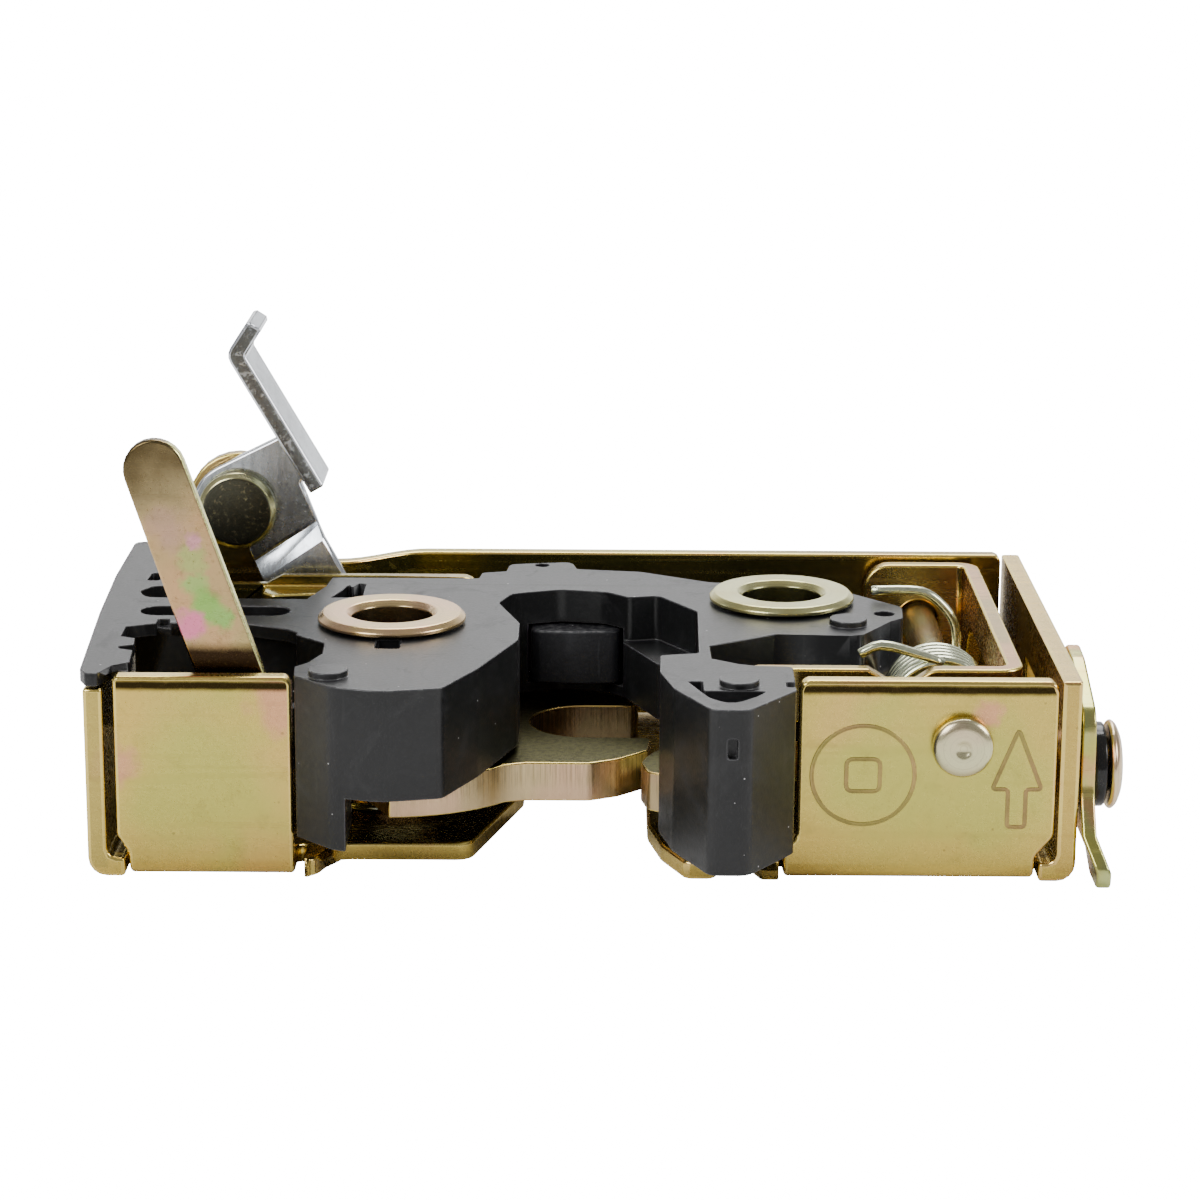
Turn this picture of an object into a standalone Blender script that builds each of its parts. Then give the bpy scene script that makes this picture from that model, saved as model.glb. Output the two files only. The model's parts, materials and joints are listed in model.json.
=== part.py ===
"""Car door lock: a folded steel case with a plastic housing, a catch, a pawl and their levers.

The script runs in Blender 4.5, from its text editor or with blender --background --python part.py.
Lengths are in millimetres and angles in degrees up to the helper functions, which turn them into
Blender's metres. X points right, Y away from the front flange's face, and Z up from the underside of
the case's base plate. An empty moves the whole lock so that the world's origin lies under the middle
of its box. The lock is modelled shut, with the catch round the place of the striker.
"""

import math

import bmesh
import bpy
from mathutils import Matrix, Vector

MM = 0.001

# Length of the straight pieces that rounded corners are made of
ARC_STEP = 0.8

# Clearance between pieces that touch on the real lock, and the free play round turning pieces
GAP = 0.3
PLAY = 0.3

# The throat for the striker: its middle line, its width and its depth from the front face
THROAT_MIDDLE = -1.5
THROAT_WIDTH = 13.2
THROAT_END = 33.4
THROAT_MOUTH = 5.4
THROAT_LEFT = THROAT_MIDDLE - THROAT_WIDTH / 2
THROAT_RIGHT = THROAT_MIDDLE + THROAT_WIDTH / 2

# The axes of the catch and the pawl, counted sideways from the throat's middle and back from its end
CATCH_AXIS = (THROAT_MIDDLE - 20.6, THROAT_END - 12.9)
PAWL_AXIS = (THROAT_MIDDLE + 21.3, THROAT_END - 3.3)
SEAT = (THROAT_MIDDLE, THROAT_END - 8.4)
SEAT_RADIUS = 6.0

# Heights of the housing, which the sheets round it follow
HOUSING_TOP = 21.6
RIM_PLATE = 1.4
WALL_THICK = 1.4
PEG_RADIUS = 2.0
PEG_HEIGHT = 0.7

# The catch and the pawl, cut from one thickness of plate, and the floor of the housing over them
PLATE_FLOOR = 5.2
PLATE_THICK = 4.2
CATCH_HUB = 10.5
PAWL_HUB = 9.8
SKIRT_FLOOR = 4.6
LEG_DEPTH = 3.4
HOUSING_FLOOR = PLATE_FLOOR + PLATE_THICK + 0.7

# The nose of the housing, and the right flange and the release bracket beside it
NOSE_REACH = 12.0
NOSE_WIDTH = 15.0
RIGHT_FLANGE_START = THROAT_RIGHT + NOSE_WIDTH
LEFT_FLANGE_END = CATCH_AXIS[0] - 8.9
PIN_X = PAWL_AXIS[0] + 16.8
PIN_Z = HOUSING_TOP - 7.0
PIN_RADIUS = 2.0
PIN_HEAD_RADIUS = 3.1
PIN_HEAD = 1.6

# The case: one folded sheet round all that
SHEET = 2.0
BEND = 1.0
RELIEF = 1.0
FLANGE_TOP = HOUSING_TOP - 0.4
BRACKET_RIGHT = PIN_X + 6.8
CASE_LEFT = CATCH_AXIS[0] - 29.9
CASE_RIGHT = BRACKET_RIGHT + 5.2
CASE_DEPTH = THROAT_END + 21.0

# The back plate with the ear that carries the inside lever
BACK_FACE = CASE_DEPTH - GAP - SHEET
EAR_FACE = BACK_FACE - 5.2
BACK_TOP = HOUSING_TOP
EAR_RADIUS = 5.9
RIVET_X = CASE_LEFT + 11.1
RIVET_Z = HOUSING_TOP + 6.7
JOGGLE_END = RIVET_X + 10.9
JOGGLE_START = JOGGLE_END + 10.0

# The two bushes, which the catch and the pawl turn on
BUSH_BORE = 8.5
BUSH_SHANK = BUSH_BORE + 2.3
BUSH_RING = BUSH_SHANK + 4.9
RING_HEIGHT = 0.9
RING_CHAMFER = 0.5

# The rubber buffer at the end of the throat, and the ledge beside it
BUFFER_LEFT = THROAT_LEFT + 0.5
BUFFER_RIGHT = THROAT_RIGHT - 2.8
BUFFER_FRONT = THROAT_END - 1.8
BUFFER_DEPTH = 5.8
BUFFER_TOP = HOUSING_TOP - 4.0
SEAT_FLOOR = 1.2
LEDGE_TOP = BUFFER_TOP - 1.0

# The release bracket and its spring
BRACKET_SHEET = 1.8
BRACKET_FRONT = 4.7
BRACKET_BACK = BACK_FACE - 1.3
BRACKET_TOP = HOUSING_TOP - 0.5
BRACKET_LEFT = RIGHT_FLANGE_START - 5.1
SPRING_WIRE = 1.4
SPRING_RADIUS = PIN_RADIUS + 2.9
SPRING_FRONT = BRACKET_FRONT + 3.5
SPRING_TURNS = 4

# The outside lever on the right wall
STUD_Y = 8.0
STUD_Z = 10.2
STUD_RADIUS = 2.5
STUD_HEAD_RADIUS = 4.7
STUD_HEAD = 1.5
LEVER_SHEET = 1.5
WASHER_THICK = 1.4
LEVER_SPLAY = 1.3

# The inside lever on the ear
RIVET_RADIUS = 2.6
RIVET_HEAD_RADIUS = 4.4
RIVET_HEAD = 1.7
INSIDE_SHEET = 1.8
INSIDE_STEP = 1.4
HANDLE_FRONT = EAR_FACE - 6.4
HANDLE_BACK = HANDLE_FRONT + 8.7

# The bar behind the housing
BAR_FRONT = EAR_FACE - 6.9
BAR_SHEET = 1.6
BAR_LEFT = CASE_LEFT + 6.0
BAR_RIGHT = THROAT_LEFT - 5.8
BAR_FLOOR = 12.5
BAR_TOP = HOUSING_TOP

# The lock lever behind the left flange, its pin and the housing's carrier of that pin
LOCK_X = LEFT_FLANGE_END - 3.7
LOCK_Z = HOUSING_FLOOR + 2.3
LOCK_WIDTH = 6.8
LOCK_TOP_WIDTH = 6.3
LOCK_SHEET = 1.6
LOCK_LENGTH = 34.0
LOCK_TILT = 18.7
LOCK_PIN_RADIUS = 1.5
LOCK_PIN_HEAD = 0.6
LOCK_FRONT = SHEET + GAP + LOCK_PIN_HEAD + GAP
CARRIER_RADIUS = 4.1
CARRIER_FRONT = LOCK_FRONT + LOCK_SHEET + GAP
CARRIER_THICK = 2.1

# The box of the lock, which the world's origin is centred under
BOX_LEFT = CASE_LEFT - 2.3
BOX_RIGHT = CASE_RIGHT + GAP + LEVER_SHEET + GAP + WASHER_THICK + GAP + STUD_HEAD
BOX_FRONT = -NOSE_REACH
BOX_BACK = CASE_DEPTH + 2.0


def rounded(corners):
    """Return a closed outline: corners are (x, y, radius), and each becomes an arc of that radius."""
    points = []
    count = len(corners)
    for index, (x, y, radius) in enumerate(corners):
        here = Vector((x, y))
        before = Vector(corners[index - 1][:2]) - here
        after = Vector(corners[(index + 1) % count][:2]) - here
        half_turn = (math.pi - before.angle(after)) / 2
        if radius <= 0 or half_turn < 0.01:
            points.append(here)
            continue
        reach = min(radius * math.tan(half_turn), before.length / 2, after.length / 2)
        radius = reach / math.tan(half_turn)
        middle = here + (before.normalized() + after.normalized()).normalized() * radius / math.cos(half_turn)
        start = here + before.normalized() * reach - middle
        end = here + after.normalized() * reach - middle
        sweep = start.angle_signed(end)
        steps = min(max(math.ceil(radius * abs(sweep) / ARC_STEP), 2), 12)
        for step in range(steps + 1):
            points.append(middle + Matrix.Rotation(-sweep * step / steps, 2) @ start)
    return points


def arc(centre, radius, start, end, steps=10):
    """Return points along an arc from the angle start to the angle end, in degrees."""
    points = []
    for step in range(steps + 1):
        angle = math.radians(start + (end - start) * step / steps)
        points.append(Vector((centre[0] + radius * math.cos(angle), centre[1] + radius * math.sin(angle))))
    return points


def circle(centre, radius, steps=32):
    """Return the points of a full circle, without the doubled last one."""
    return arc(centre, radius, 0, 360, steps)[:-1]


def finish(name, mesh):
    """Weld a mesh, turn its faces outwards and return it as an object in the lock's collection."""
    shape = bmesh.new()
    shape.from_mesh(mesh)
    bmesh.ops.remove_doubles(shape, verts=shape.verts, dist=0.000002)
    bmesh.ops.recalc_face_normals(shape, faces=shape.faces)
    shape.to_mesh(mesh)
    shape.free()
    mesh.name = name
    return add_object(name, mesh)


def add_object(name, data):
    """Return a new object made from data, linked to the lock's collection."""
    item = bpy.data.objects.new(name, data)
    LOCK.objects.link(item)
    return item


def evaluated_mesh(item):
    """Return the mesh that an object's curve or modifiers give, and remove the object."""
    bpy.context.view_layer.update()
    mesh = bpy.data.meshes.new_from_object(item.evaluated_get(bpy.context.evaluated_depsgraph_get()))
    mesh.transform(item.matrix_world)
    bpy.data.objects.remove(item)
    return mesh


def slab(name, outline, low, high, normal="Z", holes=()):
    """Return a flat outline with its holes, as thick as from low to high along its normal.

    Outlines across Z hold x and y, outlines across Y hold x and z, outlines across X hold y and z.
    """
    curve = bpy.data.curves.new(name, "CURVE")
    curve.dimensions = "2D"
    curve.fill_mode = "BOTH"
    curve.extrude = (high - low) / 2 * MM
    for loop in (outline, *holes):
        spline = curve.splines.new("POLY")
        spline.points.add(len(loop) - 1)
        spline.use_cyclic_u = True
        for point, place in zip(spline.points, loop):
            point.co = (place[0] * MM, place[1] * MM, 0, 1)
    item = add_object(name, curve)
    middle = (low + high) / 2 * MM
    if normal == "Z":
        item.matrix_world = Matrix.Translation((0, 0, middle))
    elif normal == "Y":
        item.matrix_world = Matrix.Translation((0, middle, 0)) @ Matrix.Rotation(math.pi / 2, 4, "X")
    else:
        turn = Matrix.Rotation(math.pi / 2, 4, "Z") @ Matrix.Rotation(math.pi / 2, 4, "X")
        item.matrix_world = Matrix.Translation((middle, 0, 0)) @ turn
    return finish(name, evaluated_mesh(item))


def turned(name, profile, centre, axis="Z", steps=32):
    """Return a profile of (radius, place along the axis) points turned round an axis with Screw."""
    mesh = bpy.data.meshes.new(name)
    places = [(radius * MM, 0, along * MM) for radius, along in profile]
    edges = [(index, index + 1) for index in range(len(places) - 1)]
    if profile[0][0] > 0:
        edges.append((len(places) - 1, 0))
    mesh.from_pydata(places, edges, [])
    item = add_object(name, mesh)
    screw = item.modifiers.new("Turn", "SCREW")
    screw.steps = steps
    screw.render_steps = steps
    screw.use_merge_vertices = True
    screw.merge_threshold = 0.000005
    if axis == "Y":
        item.matrix_world = Matrix.Rotation(-math.pi / 2, 4, "X")
    elif axis == "X":
        item.matrix_world = Matrix.Rotation(math.pi / 2, 4, "Y")
    item.matrix_world = Matrix.Translation(Vector(centre) * MM) @ item.matrix_world
    return finish(name, evaluated_mesh(item))


def wire(name, points, radius):
    """Return a round wire along points, with closed ends."""
    curve = bpy.data.curves.new(name, "CURVE")
    curve.dimensions = "3D"
    curve.bevel_depth = radius * MM
    curve.bevel_resolution = 2
    curve.use_fill_caps = True
    spline = curve.splines.new("POLY")
    spline.points.add(len(points) - 1)
    for point, place in zip(spline.points, points):
        point.co = (*(Vector(place) * MM), 1)
    return finish(name, evaluated_mesh(add_object(name, curve)))


def combine(target, tool, operation):
    """Return target joined with, cut by or trimmed to tool, which is used up."""
    name = target.name
    change = target.modifiers.new("Combine", "BOOLEAN")
    change.object = tool
    change.operation = operation
    change.solver = "EXACT"
    mesh = evaluated_mesh(target)
    bpy.data.objects.remove(tool)
    return finish(name, mesh)


def join(target, *tools):
    """Return target with each tool added to it."""
    for tool in tools:
        target = combine(target, tool, "UNION")
    return target


def cut(target, *tools):
    """Return target with each tool's shape taken out of it."""
    for tool in tools:
        target = combine(target, tool, "DIFFERENCE")
    return target


def trim(target, tool):
    """Return what target and tool have in common."""
    return combine(target, tool, "INTERSECT")


def split_across(item, places, axis):
    """Cut an object's faces along planes, so that it can bend there."""
    shape = bmesh.new()
    shape.from_mesh(item.data)
    normal = Vector((axis == "X", axis == "Y", axis == "Z"))
    for place in places:
        parts = shape.verts[:] + shape.edges[:] + shape.faces[:]
        bmesh.ops.bisect_plane(shape, geom=parts, plane_co=normal * place * MM, plane_no=normal,
                               dist=0.000001)
    shape.to_mesh(item.data)
    shape.free()


def place(item, finish_material, pivot=(0, 0, 0)):
    """Give an object its material and parent, and put its origin on its pivot."""
    item.data.transform(Matrix.Translation(-Vector(pivot) * MM))
    item.location = Vector(pivot) * MM
    item.parent = FRAME
    item.data.materials.clear()
    item.data.materials.append(finish_material)
    item.data.shade_smooth()
    item.data.set_sharp_from_angle(angle=math.radians(35))
    return item


def paint(name, colour, roughness, metallic):
    """Return a Principled material."""
    result = bpy.data.materials.new(name)
    result.use_nodes = True
    shader = result.node_tree.nodes["Principled BSDF"]
    shader.inputs["Base Color"].default_value = (*colour, 1)
    shader.inputs["Roughness"].default_value = roughness
    shader.inputs["Metallic"].default_value = metallic
    return result


def wall_section(outer, inward, top):
    """Return the section of a side wall: up from the base plate through its bend.

    outer is the place of the wall's outer face and inward is 1 or -1, the way to the case's middle.
    """
    flat_end = outer + inward * (SHEET + BEND + 0.8)
    inner = outer + inward * SHEET
    return rounded([
        (flat_end, 0, 0),
        (outer, 0, SHEET + BEND),
        (outer, top, 0),
        (inner, top, 0),
        (inner, SHEET, BEND),
        (flat_end, SHEET, 0),
    ])


def flange(name, face_outline):
    """Return a front flange, folded up from the base plate and trimmed to its face's outline."""
    section = wall_section(0, 1, FLANGE_TOP + 1)
    left = min(point[0] for point in face_outline)
    right = max(point[0] for point in face_outline)
    strip = slab(name, section, left - 1, right + 1, "X")
    return trim(strip, slab("face", face_outline, -1, SHEET + BEND + 2, "Y"))


def make_case():
    """Return the case: base plate with the throat, side walls and two front flanges."""
    bend_end = SHEET + BEND
    left = CASE_LEFT + bend_end
    right = CASE_RIGHT - bend_end
    start = bend_end + 0.3
    base = slab("case_tray", rounded([
        (left + 0.2, start + 0.5, 0),
        (left + 1.2, start + 0.5, 0),
        (left + 1.2, start, 0),
        (LEFT_FLANGE_END, start, 0),
        (LEFT_FLANGE_END, start + 1.4, 0.5),
        (LEFT_FLANGE_END + RELIEF, start + 1.4, 0.5),
        (LEFT_FLANGE_END + RELIEF, 0.2, 0.3),
        (LEFT_FLANGE_END + RELIEF + 1.0, 0.2, 0.5),
        (LEFT_FLANGE_END + RELIEF + 2.0, 3.2, 1),
        (LEFT_FLANGE_END + RELIEF + 3.4, THROAT_MOUTH, 1.5),
        (THROAT_LEFT - 5.1, THROAT_MOUTH, 2),
        (THROAT_LEFT, THROAT_MOUTH + 17.9, 3),
        (THROAT_LEFT, THROAT_END, 5),
        (THROAT_RIGHT, THROAT_END, 5),
        (THROAT_RIGHT, THROAT_MOUTH + 6.6, 6),
        (THROAT_RIGHT + 1.3, THROAT_MOUTH + 0.2, 3),
        (THROAT_RIGHT + 3.7, 0, 1),
        (THROAT_RIGHT + 6.6, 0, 1),
        (THROAT_RIGHT + 8.3, start + 0.1, 0.6),
        (THROAT_RIGHT + 10.3, start + 0.1, 0.6),
        (THROAT_RIGHT + 11.5, 0.2, 0.4),
        (RIGHT_FLANGE_START - 1.7, 0.2, 0.3),
        (RIGHT_FLANGE_START - 1.7, start + 1, 0.3),
        (RIGHT_FLANGE_START - 1.2, start + 1, 0),
        (RIGHT_FLANGE_START - 1.2, start, 0),
        (right - 1.2, start, 0),
        (right - 1.2, start + 0.5, 0),
        (right - 0.2, start + 0.5, 0),
        (right - 0.2, CASE_DEPTH, 0),
        (left + 0.2, CASE_DEPTH, 0),
    ]), 0, SHEET, holes=[
        circle(CATCH_AXIS, BUSH_SHANK / 2 + PLAY),
        circle(PAWL_AXIS, BUSH_SHANK / 2 + PLAY),
    ])
    wall_top = HOUSING_TOP - RIM_PLATE - GAP
    left_wall = slab("wall", wall_section(CASE_LEFT, 1, wall_top), 0, CASE_DEPTH, "Y")
    right_wall = slab("wall", wall_section(CASE_RIGHT, -1, FLANGE_TOP), 0, CASE_DEPTH, "Y")
    left_flange = flange("flange", rounded([
        (left + 1.2, -1, 0),
        (LEFT_FLANGE_END, -1, 0),
        (LEFT_FLANGE_END, FLANGE_TOP, 0.8),
        (left, FLANGE_TOP, 0.5),
        (left, bend_end + 1.4, 1),
        (left + 1.2, bend_end - 0.4, 1),
    ]))
    right_flange = flange("flange", rounded([
        (RIGHT_FLANGE_START - 1.2, -1, 0),
        (right - 1.2, -1, 0),
        (right - 1.2, bend_end - 0.4, 1),
        (right + 0.7, bend_end + 1.8, 1),
        (right + 0.7, FLANGE_TOP, 1),
        (RIGHT_FLANGE_START, FLANGE_TOP, 1),
        (RIGHT_FLANGE_START, bend_end + 1.6, 0.8),
        (RIGHT_FLANGE_START - 1.2, bend_end + 0.4, 0.8),
    ]))
    case = join(base, left_wall, right_wall, left_flange, right_flange)
    pin_hole = turned("hole", [(0, -1), (PIN_RADIUS + PLAY, -1), (PIN_RADIUS + PLAY, 3), (0, 3)],
                      (PIN_X, 0, PIN_Z), "Y", 24)
    stud_hole = turned("hole", [(0, -3), (STUD_RADIUS + PLAY, -3), (STUD_RADIUS + PLAY, 1), (0, 1)],
                       (CASE_RIGHT, STUD_Y, STUD_Z), "X", 24)
    window = slab("window", rounded([
        (STUD_Y + 9.5, 8, 1), (STUD_Y + 22.5, 8, 1), (STUD_Y + 22.5, 15.5, 1), (STUD_Y + 9.5, 15.5, 1),
    ]), CASE_RIGHT - 3, CASE_RIGHT + 1, "X")
    return cut(case, pin_hole, stud_hole, window)


def make_back_plate():
    """Return the back plate: a standing sheet, joggled forward at the left and raised into an ear."""
    foot = SHEET + GAP
    right = CASE_RIGHT - SHEET - GAP
    ear_left = RIVET_X - EAR_RADIUS
    ear_right = RIVET_X + EAR_RADIUS
    outline = rounded([(ear_left, foot, 0.5), (right, foot, 0.5), (right, BACK_TOP, 0.8),
                       (ear_right, BACK_TOP, 1.5)])
    outline += arc((RIVET_X, RIVET_Z), EAR_RADIUS, 0, 180, 14)
    plate = slab("back_plate", outline, BACK_FACE, BACK_FACE + SHEET, "Y",
                 [circle((RIVET_X, RIVET_Z), RIVET_RADIUS + PLAY, 24)])
    steps = 8
    stations = [JOGGLE_START + (JOGGLE_END - JOGGLE_START) * step / steps for step in range(steps + 1)]
    split_across(plate, stations, "X")
    for vertex in plate.data.vertices:
        along = (JOGGLE_START - vertex.co.x / MM) / (JOGGLE_START - JOGGLE_END)
        along = min(max(along, 0), 1)
        vertex.co.y -= (BACK_FACE - EAR_FACE) * (1 - math.cos(math.pi * along)) / 2 * MM
    return plate


def shifted(origin, corners):
    """Return corners moved so that they count from an origin."""
    return [(origin[0] + x, origin[1] + y, radius) for x, y, radius in corners]


def core_outline():
    """Return the outline of the housing's thick core, run by run round the throat."""
    back = BAR_FRONT - GAP
    left_bulge = [
        (LEFT_FLANGE_END + 0.4, -0.6, 0.3), (CATCH_AXIS[0] - 4.5, -4.8, 3), (CATCH_AXIS[0] + 0.3, -6.3, 6),
        (THROAT_LEFT - 7.5, -4.9, 1.2), (THROAT_LEFT - 4.2, 2.4, 9),
    ]
    throat_side = shifted((THROAT_LEFT, CATCH_AXIS[1]), [(-0.4, -6.9, 5), (-0.4, -0.1, 3)])
    buffer_bay = [
        (THROAT_LEFT - 2.9, THROAT_END - 4.4, 1.5),
        *shifted((BUFFER_LEFT, BUFFER_FRONT), [(-2.0, 1.4, 1.5), (3.2, 3.3, 3)]),
        *shifted((BUFFER_RIGHT, BUFFER_FRONT), [(-1.7, 2.4, 2), (0.8, 0, 1)]),
        (THROAT_RIGHT + 1.3, THROAT_END - 1.0, 0.8),
    ]
    throat_right = [
        (PAWL_AXIS[0] - 9.3, PAWL_AXIS[1] - 4.5, 1),
        *shifted((THROAT_RIGHT, 0), [(5.1, 8.8, 0.5), (1.1, 7.9, 0.6), (1.0, 1.6, 4), (2.3, -4.4, 3)]),
    ]
    nose = shifted((RIGHT_FLANGE_START, 0), [
        (-9.2, -NOSE_REACH, 1.5), (-5.5, -NOSE_REACH, 1.5), (-0.6, -5.0, 1), (-0.5, 3.8, 0.4),
        (-4.3, 4.0, 0.3),
    ])
    ear_pocket = shifted((BRACKET_LEFT, BRACKET_FRONT), [(-0.8, -0.1, 0.3), (-3.5, 1.9, 0.3)])
    pawl_side = shifted(PAWL_AXIS, [
        (-8.4, -18.5, 0.3), (-1.4, -13.7, 0.5), (6.5, -14.2, 0.3), (8.0, -13.6, 0.3), (11.2, -8.2, 0.3),
        (PIN_X - PAWL_AXIS[0] - 4.1, -6.7, 1), (PIN_X - PAWL_AXIS[0] - 3.8, -2.0, 1.5), (7.8, 4.0, 3),
        (2.8, 8.5, 5), (-7.3, 8.3, 3),
    ])
    back_edge = [
        *shifted((THROAT_LEFT, THROAT_END), [
            (12.7, 9.8, 2), (5.5, 10.9, 0.3), (4.9, 14.2, 1), (-2.2, 13.0, 1), (-2.5, 9.7, 0.3),
        ]),
        (BAR_RIGHT + 0.6, back + 2.6, 0.4), (BAR_RIGHT + GAP, back, 0.3), (CATCH_AXIS[0] - 7.9, back, 0.3),
    ]
    left_edge = shifted(CATCH_AXIS, [
        (-8.3, 14.8, 1), (-9.8, 9.7, 0.5), (-9.7, -5.5, 0.5), (-6.5, -8.7, 0.5), (-6.4, -13.0, 0.5),
    ])
    foot = shifted((LEFT_FLANGE_END, SHEET), [(1.4, 2.2, 0.5), (0.2, 0.6, 0.2)])
    return rounded(left_bulge + throat_side + buffer_bay + throat_right + nose + ear_pocket + pawl_side
                   + back_edge + left_edge + foot)


def rim_outline():
    """Return the outline of the thin plate at the left, with the stepped edge round the lock lever."""
    stepped_edge = shifted((CASE_LEFT, 0), [
        (-0.4, 1.6, 0.5), (0.4, -0.3, 0.6), (1.6, -0.3, 0.5), (2.6, 2.6, 0.3), (4.3, 4.0, 0.2),
        (4.0, 8.6, 0.2), (2.5, 9.3, 0.2), (2.3, 10.2, 0.2), (3.8, 10.9, 0.2), (3.6, 13.3, 0.2),
        (2.0, 14.1, 0.2), (2.0, 18.1, 0.2), (5.0, 19.4, 0.2), (5.0, 21.2, 0.2), (6.2, 21.2, 0.2),
        (6.4, 19.6, 0.2),
    ])
    by_core = shifted(CATCH_AXIS, [
        (-15.1, -1.3, 2), (-10.8, -3.3, 1), (-9.3, -5.1, 0.2), (-7.3, -5.1, 0), (-7.3, 9.4, 0),
    ])
    tail = [
        *shifted((CASE_LEFT, CATCH_AXIS[1]), [
            (2.4, 9.9, 1.6), (1.4, 12.5, 1.2), (2.6, 14.9, 0.8), (4.5, 14.9, 0.3),
        ]),
        (CASE_LEFT + 4.5, EAR_FACE - 3.3, 0.8), (CASE_LEFT + 1.1, EAR_FACE, 1),
        (CASE_LEFT + 1.1, BOX_BACK, 1), (BOX_LEFT, BOX_BACK, 1), (BOX_LEFT, BAR_FRONT, 9),
        (BOX_LEFT + 0.6, 23.9, 9),
    ]
    return rounded(stepped_edge + by_core + tail)


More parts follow.
